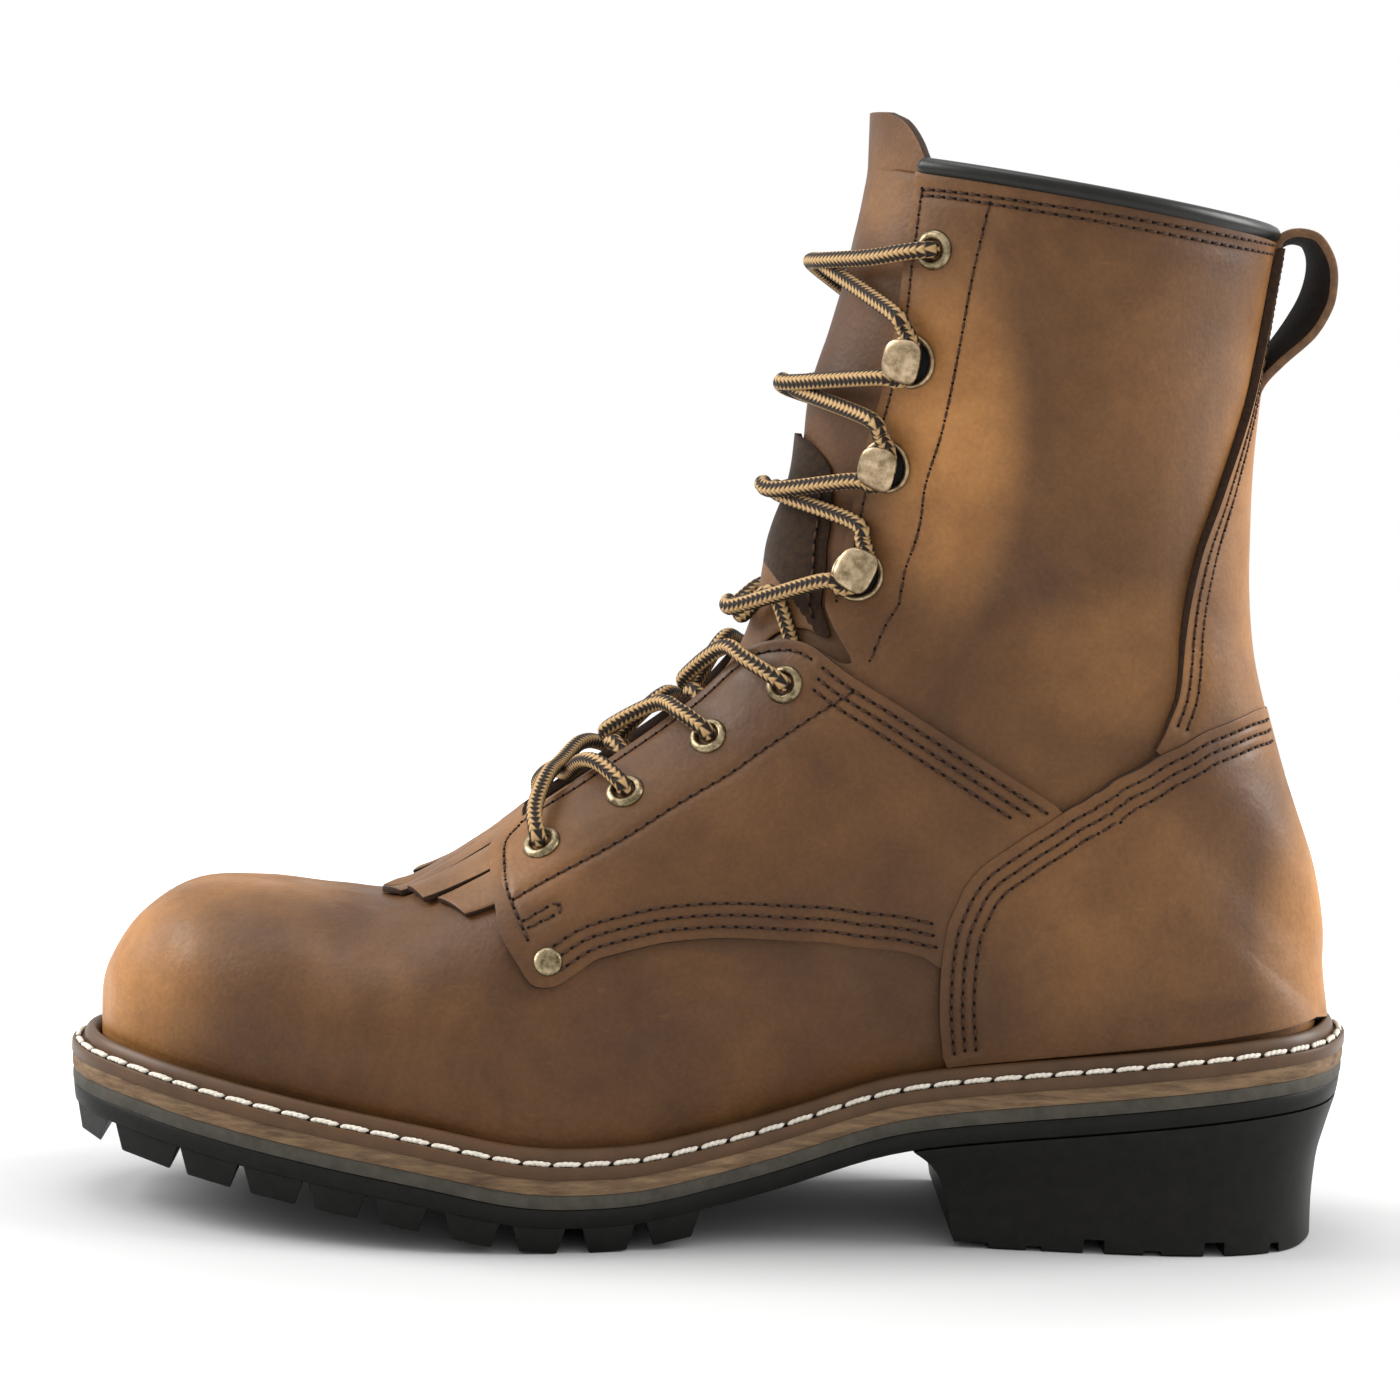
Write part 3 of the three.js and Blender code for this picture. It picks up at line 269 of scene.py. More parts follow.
def outline(t, side, inset):
    """The welt's outline in plan, moved inwards: x and half width at section t."""
    width = FOOT[:, 1 if side < 0 else 2] * BALL
    station = (FOOT[:, 0] - 0.5) * LENGTH
    xs = np.concatenate([station[[2, 1]], station, station[[-2, -3]]])
    ys = np.concatenate([-width[[2, 1]], width, -width[[-2, -3]]])
    rows = np.stack([xs, ys], 1)

    def at(s):
        i = np.floor(s).astype(int)
        f = (s - i)[..., None]
        return spline(rows[i + 1], rows[i + 2], rows[i + 3], rows[np.minimum(i + 4, len(rows) - 1)], f)

    t = np.clip(np.asarray(t, float), 0, HEEL_ROW)
    p = at(t)
    run = at(t + 1e-3) - at(t - 1e-3)
    run /= np.linalg.norm(run, axis=-1, keepdims=True)
    return p + inset * np.stack([run[..., 1], -run[..., 0]], -1)


def section_tables():
    """Rows of the upper by side: lower x, z and half width, crest x and z, half width, belly, crown."""
    tables = np.zeros((2, 2, len(FOOT) + len(SHAFT) + 2, 8))
    for k, side in enumerate(SIDES):
        low = outline(np.arange(HEEL_ROW + 1.0), side, WELT_MARGIN)
        low[[0, -1], 1] = 0
        foot = np.stack(
            [
                low[:, 0],
                seat(low[:, 0]) + WELT + BEAD,
                low[:, 1],
                FOOT[:, 3] * LENGTH,
                FOOT[:, 4] * SHAFT_HEIGHT,
                FOOT[:, 5 if side < 0 else 6] * BALL,
                FOOT[:, 7],
                FOOT[:, 8],
            ],
            1,
        )
        shaft = np.stack(
            [
                SHAFT[:, 0] * LENGTH,
                SHAFT[:, 1] * SHAFT_HEIGHT,
                0 * SHAFT[:, 0],
                SHAFT[:, 2] * LENGTH,
                SHAFT[:, 3] * SHAFT_HEIGHT,
                SHAFT[:, 4] * BALL,
                SHAFT[:, 5],
                SHAFT[:, 6],
            ],
            1,
        )
        rows = np.concatenate([foot, shaft])
        before = foot[1] * [1, 1, -1, 1, 1, -1, 1, 1]
        after = 2 * rows[-1] - rows[-2]
        whole = np.concatenate([[before], rows, [after]])
        for kind in range(2):
            tables[k, kind] = whole
        tables[k, 0, HEEL_ROW + 2, :3] = foot[HEEL_ROW - 1, :3] * [1, 1, -1]
        tables[k, 1, HEEL_ROW, :3] = 2 * rows[HEEL_ROW, :3] - rows[HEEL_ROW + 1, :3]
    return tables


SECTIONS = section_tables()
LAST_ROW = SECTIONS.shape[2] - 3


def section_face(side, v, u):
    """Points of the upper's outer face: section v, u from the feather line or back (0) to the crest (1)."""
    side, v, u = (np.array(a, float) for a in np.broadcast_arrays(side, v, u))
    over = u > 1
    side, u = np.where(over, -side, side), np.where(over, 2 - u, u)
    side, v = np.where(v < 0, -side, side), np.abs(v)
    round_back = (u < 0) & (v > HEEL_ROW)
    side, u = np.where(round_back, -side, side), np.where(round_back, -u, u)
    shaft = v > HEEL_ROW
    i = np.minimum(np.floor(v).astype(int), np.where(shaft, LAST_ROW - 1, HEEL_ROW - 1))
    k, kind = (side > 0).astype(int), shaft.astype(int)
    rows = [SECTIONS[k, kind, i + j] for j in range(4)]
    values = np.moveaxis(spline(*rows, (v - i)[..., None]), -1, 0)
    x, z, low, crest_x, crest_z, wide, belly, crown = values
    tuck = np.where(wide > 1e-6, np.clip(low / np.where(wide > 1e-6, wide, 1), 0, 0.985), 0.9)
    start = np.arcsin(tuck)
    lower = start + (math.pi / 2 - start) * u / LOWER_SHARE
    upper = np.clip(math.pi / 2 * (u - LOWER_SHARE) / (1 - LOWER_SHARE), 0, math.pi / 2)
    y = np.where(u < LOWER_SHARE, wide * np.sin(lower), wide * np.cos(upper) ** (2 / crown))
    rise = np.where(
        u < LOWER_SHARE,
        belly * (np.cos(start) - np.cos(lower)) / np.cos(start),
        belly + (1 - belly) * np.sin(upper) ** (2 / crown),
    )
    px, pz = x + rise * (crest_x - x), z + rise * (crest_z - z)
    skirt = u < 0
    px, pz = np.where(skirt, x, px), np.where(skirt, z + u * SKIRT_UNIT, pz)
    y = np.where(skirt, tuck * wide, y)
    return np.stack([px, side * y, pz], -1)


ANKLE_BRIDGE = 0.5
HEEL_CENTRE = 120.0


def bridged(function, side, v, u):
    """Values either side of the heel's last section, run into each other above its corner."""
    side, v, u = (np.array(a, float) for a in np.broadcast_arrays(side, v, u))
    plain_values = function(side, v, u)
    share = np.where(np.abs(v - HEEL_ROW) < ANKLE_BRIDGE, np.clip((u - 0.08) / 0.2, 0, 1), 0)
    if not share.any():
        return plain_values
    near = share > 0
    low = function(side, np.where(near, HEEL_ROW - ANKLE_BRIDGE, v), u)
    high = function(side, np.where(near, HEEL_ROW + ANKLE_BRIDGE, v), u)
    t = np.clip((v - HEEL_ROW + ANKLE_BRIDGE) / (2 * ANKLE_BRIDGE), 0, 1)[..., None]
    share = share[..., None]
    return plain_values * (1 - share) + (low * (1 - t) + high * t) * share


def face(side, v, u):
    """Points of the upper's outer face, smooth over the ankle."""
    return bridged(section_face, side, v, u)


def section_normals(side, v, u):
    """Outward normals of that face."""
    side, v, u = (np.array(a, float) for a in np.broadcast_arrays(side, v, u))
    step = 0.02
    across, along = np.minimum(u, 0.999), np.maximum(v, 0.03)
    on_foot = v <= HEEL_ROW
    low = np.where((across >= 0) & on_foot, np.maximum(across - step, 0), across - step)
    before = np.where((along > HEEL_ROW - 0.01) & on_foot & (u >= 0), along, along - step)
    after = np.where(u < 0, np.minimum(along + step, HEEL_ROW), along + step)
    du = section_face(side, along, across + step) - section_face(side, along, low)
    dv = section_face(side, after, across) - section_face(side, before, across)
    n = np.cross(dv, du) * -side[..., None]
    n /= np.linalg.norm(n, axis=-1, keepdims=True) + 1e-12
    # The sections meet in one point at the heel's corner, where the leather faces away from the heel.
    out = section_face(side, v, u) - np.array([HEEL_CENTRE, 0.0, 0.0])
    out[..., 2] = 0
    out /= np.linalg.norm(out, axis=-1, keepdims=True) + 1e-12
    corner = np.clip(1.6 - 1.6 * np.maximum(np.abs(v - HEEL_ROW), np.abs(u) / 0.2), 0, 1)[..., None]
    n = n * (1 - corner) + out * corner
    return n / np.linalg.norm(n, axis=-1, keepdims=True)


def normals(side, v, u):
    """Outward normals, smooth over the ankle."""
    n = bridged(section_normals, side, v, u)
    return n / np.linalg.norm(n, axis=-1, keepdims=True)


# Soft creases of a boot that has been tried on: side (0 for both), start and end as (v, u),
# half width, depth.
CREASES = [
    (0, (5.1, 0.62), (5.9, 1.0), 7.0, 0.55),
    (0, (6.6, 0.35), (6.9, 0.66), 6.0, 0.45),
    (0, (16.2, 0.30), (19.5, 0.46), 8.0, 0.6),
    (0, (21.5, 0.15), (22.6, 0.50), 8.0, 0.7),
    (0, (24.3, 0.10), (24.9, 0.42), 9.0, 0.5),
    (0, (26.3, 0.32), (28.6, 0.10), 8.0, -0.35),
    (0, (9.5, 0.22), (12.2, 0.30), 7.0, 0.35),
    (-1, (29.5, 0.42), (31.5, 0.20), 9.0, 0.35),
]


def relief(side, v, u, p):
    """How far creases sink the leather at each point."""
    depth = np.zeros(p.shape[:-1])
    for only, start, end, half_width, deep in CREASES:
        for s in SIDES:
            if only and only != s:
                continue
            steps = np.linspace(0, 1, 7)
            vs = start[0] + (end[0] - start[0]) * steps
            us = start[1] + (end[1] - start[1]) * steps
            line = face(s, vs, us)
            nearest = np.full(p.shape[:-1], 1e9)
            for a, b in zip(line[:-1], line[1:]):
                along = b - a
                t = np.clip((p - a) @ along / (along @ along), 0, 1)
                nearest = np.minimum(nearest, np.linalg.norm(p - a - t[..., None] * along, axis=-1))
            depth -= deep * np.exp(-((nearest / half_width) ** 2))
    return depth


def on_face(side, v, u, lift=0.0):
    """Points on the creased leather, lifted off it by a distance."""
    p, n = face(side, v, u), normals(side, v, u)
    return p + n * (lift + relief(side, v, u, p))[..., None]


def leather_map():
    """The medial leather as points to look up, and the section and u of each."""
    v, u = np.meshgrid(np.linspace(6.5, COLLAR, 531), np.linspace(0.0, 1.0, 334), indexing="ij")
    where = np.stack([v.ravel(), u.ravel()], 1)
    points = kdtree.KDTree(len(where))
    for k, p in enumerate(face(MEDIAL, where[:, 0], where[:, 1])):
        points.insert(Vector(p), k)
    points.balance()
    return points, where


LEATHER, LEATHER_PLACES = leather_map()


def softened(path, passes):
    """A run of points with its small wobbles ironed out and its ends kept."""
    path = path.copy()
    for _ in range(passes):
        path[1:-1] = (path[:-2] + 2 * path[1:-1] + path[2:]) / 4
    return path


def inset_path(path, distance, hand):
    """A path of (v, u) moved sideways on the leather: to its left for hand 1, to its right for -1."""
    edge = face(MEDIAL, path[:, 0], path[:, 1])
    across = -hand * np.cross(np.gradient(edge, axis=0), normals(MEDIAL, path[:, 0], path[:, 1]))
    across /= np.linalg.norm(across, axis=1, keepdims=True) + 1e-9
    moved = edge + across * distance
    clear = [np.linalg.norm(edge - p, axis=1).min() > 0.97 * distance for p in moved]
    moved = moved[clear]
    moved = softened(moved, 10)
    inset = []
    for p in moved:
        near = LEATHER.find_n(Vector(p), 6)
        weight = np.array([1 / (gap + 0.05) ** 2 for _, _, gap in near])
        inset.append(weight @ LEATHER_PLACES[[k for _, k, _ in near]] / weight.sum())
    return softened(np.array(inset), 8)


def resampled(points, pitch):
    """Positions at an even pitch along a run of points, as shares of its index."""
    length = np.concatenate([[0], np.cumsum(np.linalg.norm(np.diff(points, axis=0), axis=1))])
    count = max(int(round(length[-1] / pitch)), 1)
    return np.interp(np.linspace(0, length[-1], count + 1), length, np.arange(len(points))), length[-1]


def sampled(path, index):
    i = np.arange(len(path))
    return np.stack([np.interp(index, i, path[:, k]) for k in range(path.shape[1])], 1)


def traced(rows, start, end, count=160):
    """A table's edge as a (v, u) path."""
    v = np.linspace(start, end, count)
    return np.stack([v, monotone(rows, v)], 1)


def smooth_path(points, count=24):
    """Catmull-Rom curve through points of any dimension."""
    p = np.asarray(points, float)
    ext = np.concatenate([[2 * p[0] - p[1]], p, [2 * p[-1] - p[-2]]])
    t = np.linspace(0, 1, count, endpoint=False)[:, None]
    parts = [spline(ext[i], ext[i + 1], ext[i + 2], ext[i + 3], t) for i in range(len(p) - 1)]
    return np.concatenate([*parts, p[-1:]])


# Seams


def frames_of(points, up):
    """Right-handed frames along a run of points: run, up, across."""
    run = np.gradient(points, axis=0)
    run /= np.linalg.norm(run, axis=1, keepdims=True) + 1e-12
    up = up - (up * run).sum(1, keepdims=True) * run
    up /= np.linalg.norm(up, axis=1, keepdims=True) + 1e-12
    return run, up, np.cross(up, run)


def throat_edge(v):
    return np.where(v < THROAT[0, 0], 1.0, monotone(THROAT, v))


COUNTER_TOP_LIFT = 2.8
SEAM_INSETS = (2.6, 5.3, 8.0)
FACING_REAR = [
    (32.52, 0.578), (30.98, 0.584), (27.19, 0.591), (24.05, 0.622), (21.27, 0.666), (19.4, 0.672),
    (17.6, 0.672), (16.3, 0.664),
]
FACING_REAR_FOOT = [
    (15.12, 0.655), (13.19, 0.679), (10.51, 0.712), (9.12, 0.705), (8.16, 0.696), (7.5, 0.69),
]
TACK = [(7.64, 0.639), (8.05, 0.646), (8.14, 0.638), (8.1, 0.628), (7.71, 0.623)]
FRONT_SEAM = [
    (7.56, 0.880), (7.42, 0.868), (7.36, 0.838), (7.37, 0.783), (7.41, 0.723), (7.48, 0.684),
    (7.6, 0.637), (7.7, 0.602),
]


def seam_paths():
    """Every row of stitches: lift of the leather under it, and its path as (v, u)."""
    seams = []
    front_edge = traced(THROAT, 16.15, 32.5)
    seams.append((0.0, inset_path(front_edge, 2.4, -1)[4:]))
    seams.append((0.0, softened(smooth_path(FACING_REAR), 120)))
    seams.append((OVERLAY_TOP, smooth_path(FACING_REAR_FOOT)))
    top = traced(QUARTER_TOP, 7.6, 15.3)
    seams.append((OVERLAY_TOP, inset_path(top, 2.5, -1)[:-6]))
    seams.append((OVERLAY_TOP, smooth_path(FRONT_SEAM)))
    seams.append((OVERLAY_TOP, smooth_path(TACK)))
    rear = traced(QUARTER_TOP, 15.2, 17.66)
    foot = traced(QUARTER_BOTTOM, 8.2, 13.5)
    for k, distance in enumerate(SEAM_INSETS):
        path = inset_path(rear, distance, -1)
        seams.append((OVERLAY_TOP, path[2 * k : len(path) - 8 * k]))
        path = inset_path(foot, distance, 1)
        seams.append((OVERLAY_TOP, path[: len(path) - 2 * k]))
        edge = np.concatenate([traced(COUNTER_TOP, 12.985, 13.9, 90), traced(COUNTER_TOP, 13.92, 25.93, 200)])
        path = inset_path(edge, distance + 0.2, -1)
        seams.append((COUNTER_TOP_LIFT, path[(path[:, 1] > 0.05) | (path[:, 0] > 20)]))
    stay = traced(BACKSTAY_FRONT, 23.6, 32.8)
    for distance in (2.4, 4.9):
        seams.append((OVERLAY_TOP, inset_path(stay, distance, -1)))
    for front, rear in ((32.49, 32.94), (32.27, 32.81)):
        u = np.linspace(0.712, 0.075, 120)
        seams.append((0.0, np.stack([front + (rear - front) * ((0.712 - u) / 0.637) ** 0.55, u], 1)))
    flap = traced(KILTIE_EDGE, 16.0, 21.6)
    seams.append((None, inset_path(flap, 2.6, 1)))
    return seams


SEAMS = seam_paths()
SEAM_POINTS = kdtree.KDTree(sum(len(path) * 2 * 3 for lift, path in SEAMS))


def fill_seam_points():
    count = 0
    for lift, path in SEAMS:
        if lift is None:
            continue
        fine = sampled(path, np.linspace(0, len(path) - 1, 3 * len(path)))
        for side in SIDES:
            for p in on_face(side, fine[:, 0], fine[:, 1], lift):
                SEAM_POINTS.insert(Vector(p), count)
                count += 1
    SEAM_POINTS.balance()


fill_seam_points()
GROOVE_DEPTH, GROOVE_WIDTH = 0.42, 1.15


def grooved(points, outward):
    """Leather pulled down along its seams."""
    near = np.array([SEAM_POINTS.find(Vector(p))[2] for p in points])
    return points - outward * (GROOVE_DEPTH * np.exp(-((near / GROOVE_WIDTH) ** 2)))[:, None]


# Mesh building


def add_patch(bm, columns, rows, place, uv=None):
    """A grid in bm whose corners s, t go where place puts them, in millimetres."""
    made = bmesh.ops.create_grid(bm, x_segments=columns, y_segments=rows, size=1)["verts"]
    flat = np.array([v.co[:2] for v in made])
    low, high = flat.min(0), flat.max(0)
    s, t = ((flat - low) / (high - low)).T
    points = place(s, t) * MM
    for vert, p in zip(made, points):
        vert.co = p
    if uv:
        layer = bm.loops.layers.uv.verify()
        at = {vert: (a, b) for vert, a, b in zip(made, s, t)}
        for f in {f for vert in made for f in vert.link_faces}:
            for loop in f.loops:
                a, b = at[loop.vert]
                loop[layer].uv = (a * uv[0], b * uv[1])
    return made


def close_ends(bm):
    edges = [e for e in bm.edges if e.is_boundary]
    if edges:
        bmesh.ops.holes_fill(bm, edges=edges, sides=0)


def facing_out(bm, centre=None):
    """Points an open shell's faces away from its middle line."""
    bmesh.ops.dissolve_degenerate(bm, edges=bm.edges, dist=0.03 * MM)
    bmesh.ops.recalc_face_normals(bm, faces=bm.faces)
    if centre is not None:
        middle = Vector(centre) * MM
        total = sum((f.calc_center_median() - middle).dot(f.normal) * f.calc_area() for f in bm.faces)
        if total < 0:
            bmesh.ops.reverse_faces(bm, faces=bm.faces)


def piece(name, bm, materials, nodes=(), flat_angle=None):
    """The finished object from bm, riding on the boot."""
    mesh = bpy.data.meshes.new(name)
    bm.to_mesh(mesh)
    bm.free()
    for material in materials:
        mesh.materials.append(MATERIALS[material])
    mesh.shade_smooth()
    obj = bpy.data.objects.new(name, mesh)
    bpy.context.scene.collection.objects.link(obj)
    if flat_angle:
        mesh.set_sharp_from_angle(angle=math.radians(flat_angle))
    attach(obj, "root")
    if nodes:
        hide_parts(*nodes)
    return obj


def thicken(obj, thickness, inner=0, rim=0, bevel=0.5):
    """A wall inwards from the outer face, with rounded cut edges."""
    wall = obj.modifiers.new("Wall", "SOLIDIFY")
    wall.thickness = thickness * MM
    wall.offset = -1
    wall.use_quality_normals = True
    wall.material_offset = inner
    wall.material_offset_rim = rim
    if bevel:
        edge = obj.modifiers.new("Edge", "BEVEL")
        edge.width = bevel * MM
        edge.segments = 2
        edge.limit_method = "ANGLE"
        edge.angle_limit = math.radians(50)
        edge.harden_normals = False
    return obj


def tube(bm, points, radius, sides, up, uv_turns=1.0, blunt=True):
    """A round bar along points, with its UV in millimetres along and turns around."""
    index, length = resampled(points, 0.9)
    path = sampled(points, index)
    hint = sampled(up, index)
    run = np.gradient(path, axis=0)
    run /= np.linalg.norm(run, axis=1, keepdims=True)
    normal = np.zeros_like(path)
    normal[0] = hint[0] - hint[0] @ run[0] * run[0]
    for i in range(1, len(path)):
        normal[i] = normal[i - 1] - normal[i - 1] @ run[i] * run[i]
        normal[i] /= np.linalg.norm(normal[i])
    normal[0] /= np.linalg.norm(normal[0])
    across = np.cross(run, normal)
    along = np.linspace(0, length, len(path))
    end = np.minimum(along, length - along)
    thick = radius + 0 * end
    if blunt:
        thick = radius * np.sqrt(np.clip(1 - (1 - np.clip(end / radius, 0.02, 1)) ** 2, 0, 1))

    def place(s, t):
        k = np.rint(s * (len(path) - 1)).astype(int)
        angle = 2 * math.pi * t
        ring = normal[k] * np.cos(angle)[:, None] + across[k] * np.sin(angle)[:, None]
        return path[k] + ring * thick[k][:, None]

    add_patch(bm, len(path) - 1, sides, place, uv=(length, uv_turns))


def seat_matrix(side, v, u, lift):
    """Placement of a fitting: x towards the throat, y up along the facing's edge, z out of the leather."""
    z = normals(side, v, u)
    y = face(side, v + 0.4, throat_edge(v + 0.4)) - face(side, v - 0.4, throat_edge(v - 0.4))
    y = unit(y - y @ z * z)
    x = np.cross(y, z)
    if x @ (face(side, v, u + 0.02) - face(side, v, u - 0.02)) < 0:
        x = -x
    matrix = Matrix((x, y, z)).transposed().to_4x4()
    matrix.translation = Vector(on_face(side, v, u, lift))
    return matrix


def lathe(bm, profile, steps, matrix, material=0):
    """A closed profile of radius and height spun round a fitting's own z."""
    verts = [bm.verts.new((r * MM, 0, z * MM)) for r, z in profile]
    edges = [bm.edges.new(pair) for pair in zip(verts, verts[1:] + verts[:1])]
    bmesh.ops.spin(
        bm, geom=verts + edges, cent=(0, 0, 0), axis=(0, 0, 1), angle=2 * math.pi, steps=steps, use_merge=True
    )
    fresh = set(verts)
    stack = list(verts)
    while stack:
        for e in stack.pop().link_edges:
            for v in e.verts:
                if v not in fresh:
                    fresh.add(v)
                    stack.append(v)
    for f in {f for v in fresh for f in v.link_faces}:
        f.material_index = material
    scaled = matrix.copy()
    scaled.translation = matrix.translation * MM
    bmesh.ops.transform(bm, matrix=scaled, verts=list(fresh))


# Materials


def linear(text):
    """A colour written as sRGB hex, in linear light."""
    parts = [int(text[i : i + 2], 16) / 255 for i in (1, 3, 5)]
    return tuple(c / 12.92 if c <= 0.04045 else ((c + 0.055) / 1.055) ** 2.4 for c in parts) + (1.0,)


COORDINATES, MAPPING, UV = "ShaderNodeTexCoord", "ShaderNodeMapping", "ShaderNodeUVMap"
NOISE, CELLS, RAMP, MIX = "ShaderNodeTexNoise", "ShaderNodeTexVoronoi", "ShaderNodeValToRGB", "ShaderNodeMix"
MATH, VECTOR_MATH, SPREAD = "ShaderNodeMath", "ShaderNodeVectorMath", "ShaderNodeMapRange"
SPLIT, BUMP = "ShaderNodeSeparateXYZ", "ShaderNodeBump"


def node(tree, kind, inputs, output=0, stops=(), **settings):
    """Adds a node with its settings and links, and hands on one of its outputs."""
    made = tree.nodes.new(kind)
    for key, value in settings.items():
        setattr(made, key, value)
    for socket, value in inputs.items():
        if isinstance(value, bpy.types.NodeSocket):
            tree.links.new(value, made.inputs[socket])
        else:
            made.inputs[socket].default_value = value
    for k, (place, colour) in enumerate(stops):
        if k > 1:
            made.color_ramp.elements.new(1.0)
    for k, (place, colour) in enumerate(stops):
        made.color_ramp.elements[k].position = place
        made.color_ramp.elements[k].color = colour
    return made.outputs[output]


def grain(size):
    """Scale of a texture whose features measure so many millimetres."""
    return 1 / (size * MM)


def new_material(name, roughness, metallic=0.0, ior=1.5, specular=0.5, sheen=0.0):
    material = bpy.data.materials.new(name)
    material.use_nodes = True
    shader = material.node_tree.nodes["Principled BSDF"]
    shader.inputs["Roughness"].default_value = roughness
    shader.inputs["Metallic"].default_value = metallic
    shader.inputs["IOR"].default_value = ior
    shader.inputs["Specular IOR Level"].default_value = specular
    shader.inputs["Sheen Weight"].default_value = sheen
    return material, material.node_tree, shader


# Pale spots, partly where lasting and wear moved the wax off and partly painted highlight where light falls
# on the toe, heel, rear shaft and facing: centre, half sizes in mm, strength.
PULL_UP_AND_PAINTED_LIGHT = [
    ((-168, -20, 62), (62, 80, 60), 1.0),
    ((-118, 10, 92), (55, 60, 34), 0.75),
    ((160, 0, 78), (46, 60, 62), 1.0),
    ((152, 0, 180), (60, 66, 104), 0.95),
    ((44, -42, 190), (28, 30, 56), 0.85),
    ((92, -40, 88), (50, 44, 44), 0.18),
    ((96, -40, 142), (44, 40, 26), 0.3),
    ((86, -40, 200), (44, 44, 60), 0.1),
    ((16, -30, 250), (30, 40, 26), 0.5),
    ((-52, -10, 92), (26, 60, 20), 0.35),
]


def pull_up_and_painted_light(tree, place):
    """Sum of soft spots, 0 to 1: partly pull-up wear, partly painted highlight."""
    total = 0.0
    for centre, half, strength in PULL_UP_AND_PAINTED_LIGHT:
        middle, stretch = tuple(c * MM for c in centre), tuple(1 / (h * MM) for h in half)
        away = node(tree, VECTOR_MATH, {0: place, 1: middle}, operation="SUBTRACT")
        away = node(tree, VECTOR_MATH, {0: away, 1: stretch}, operation="MULTIPLY")
        reach = node(tree, VECTOR_MATH, {0: away}, "Value", operation="LENGTH")
        soft = {"Value": reach, "From Min": 0.25, "From Max": 1.0, "To Min": strength, "To Max": 0.0}
        spot = node(tree, SPREAD, soft, "Result", interpolation_type="SMOOTHSTEP")
        total = node(tree, MATH, {0: total, 1: spot}, operation="MAXIMUM")
    return total


def oiled_leather(name, dark, middle, light, pale, roughness=0.5):
    """Oil-tanned cowhide, drum dyed and waxed: cloudy tones, pale spots that are partly pull-up wear and
    partly painted highlight on the lit toe, heel and facing, pores, scratches, soft gloss.
    """
    material, tree, shader = new_material(name, roughness, ior=1.48, specular=0.28)
    place = node(tree, COORDINATES, {}, "Object")

    clouds = {"Vector": place, "Scale": grain(46), "Detail": 5, "Roughness": 0.6, "Distortion": 0.6}
    clouds = node(tree, NOISE, clouds, "Fac")
    tone = node(tree, RAMP, {"Fac": clouds}, "Color", [(0.33, dark), (0.52, middle), (0.72, light)])

    patches = node(tree, NOISE, {"Vector": place, "Scale": grain(15), "Detail": 6, "Roughness": 0.68}, "Fac")
    ragged = node(tree, MATH, {0: patches, 1: 0.9}, operation="MULTIPLY")
    ragged = node(tree, MATH, {0: ragged, 1: 0.5}, operation="ADD")
    # Pale spots: partly pulled-up wax, partly painted highlight where the light falls.
    pull_up_and_highlight = node(tree, MATH, {0: pull_up_and_painted_light(tree, place), 1: ragged}, operation="MULTIPLY", use_clamp=True)
    tone = node(tree, MIX, {0: pull_up_and_highlight, 6: tone, 7: pale}, 2, data_type="RGBA")

    mottle = [(0.3, (0.38, 0.36, 0.33, 1)), (0.72, (0.63, 0.64, 0.64, 1))]
    mottle = node(tree, RAMP, {"Fac": patches}, "Color", mottle)
    tone = node(tree, MIX, {0: 0.4, 6: tone, 7: mottle}, 2, data_type="RGBA", blend_type="SOFT_LIGHT")
    speckle = node(tree, NOISE, {"Vector": place, "Scale": grain(1.1), "Detail": 2, "Roughness": 0.55}, "Fac")
    fleck = [(0.35, (0.38, 0.38, 0.38, 1)), (0.66, (0.62, 0.62, 0.62, 1))]
    speckle = node(tree, RAMP, {"Fac": speckle}, "Color", fleck)
    tone = node(tree, MIX, {0: 0.35, 6: tone, 7: speckle}, 2, data_type="RGBA", blend_type="SOFT_LIGHT")

    drawn = {"Vector": place, "Scale": (0.3, 2.6, 3.2), "Rotation": (0.3, 0.9, 0.5)}
    drawn = node(tree, MAPPING, drawn, "Vector")
    scratch = node(tree, NOISE, {"Vector": drawn, "Scale": grain(4.6), "Detail": 4, "Roughness": 0.7}, "Fac")
    scratch = node(tree, RAMP, {"Fac": scratch}, "Color", [(0.64, (0, 0, 0, 1)), (0.8, (1, 1, 1, 1))])
    faint = node(tree, MATH, {0: scratch, 1: 0.16}, operation="MULTIPLY")
    tone = node(tree, MIX, {0: faint, 6: tone, 7: pale}, 2, data_type="RGBA")
    tree.links.new(tone, shader.inputs["Base Color"])

    gloss = node(tree, NOISE, {"Vector": place, "Scale": grain(9), "Detail": 4, "Roughness": 0.55}, "Fac")
    rough = {"Value": gloss, "From Min": 0.3, "From Max": 0.7}
    rough.update({"To Min": roughness - 0.07, "To Max": roughness + 0.1})
    tree.links.new(node(tree, SPREAD, rough, "Result"), shader.inputs["Roughness"])

    pores = node(tree, CELLS, {"Vector": place, "Scale": grain(1.3), "Randomness": 1.0}, "Distance")
    relief = node(tree, BUMP, {"Height": pores, "Distance": 0.08 * MM, "Strength": 0.6}, "Normal")
    wave = node(tree, NOISE, {"Vector": place, "Scale": grain(3.2), "Detail": 5, "Roughness": 0.6}, "Fac")
    relief = {"Height": wave, "Distance": 0.22 * MM, "Strength": 0.6, "Normal": relief}
    relief = node(tree, BUMP, relief, "Normal")
    relief = {"Height": clouds, "Distance": 0.8 * MM, "Strength": 0.4, "Normal": relief}
    tree.links.new(node(tree, BUMP, relief, "Normal"), shader.inputs["Normal"])
    return material


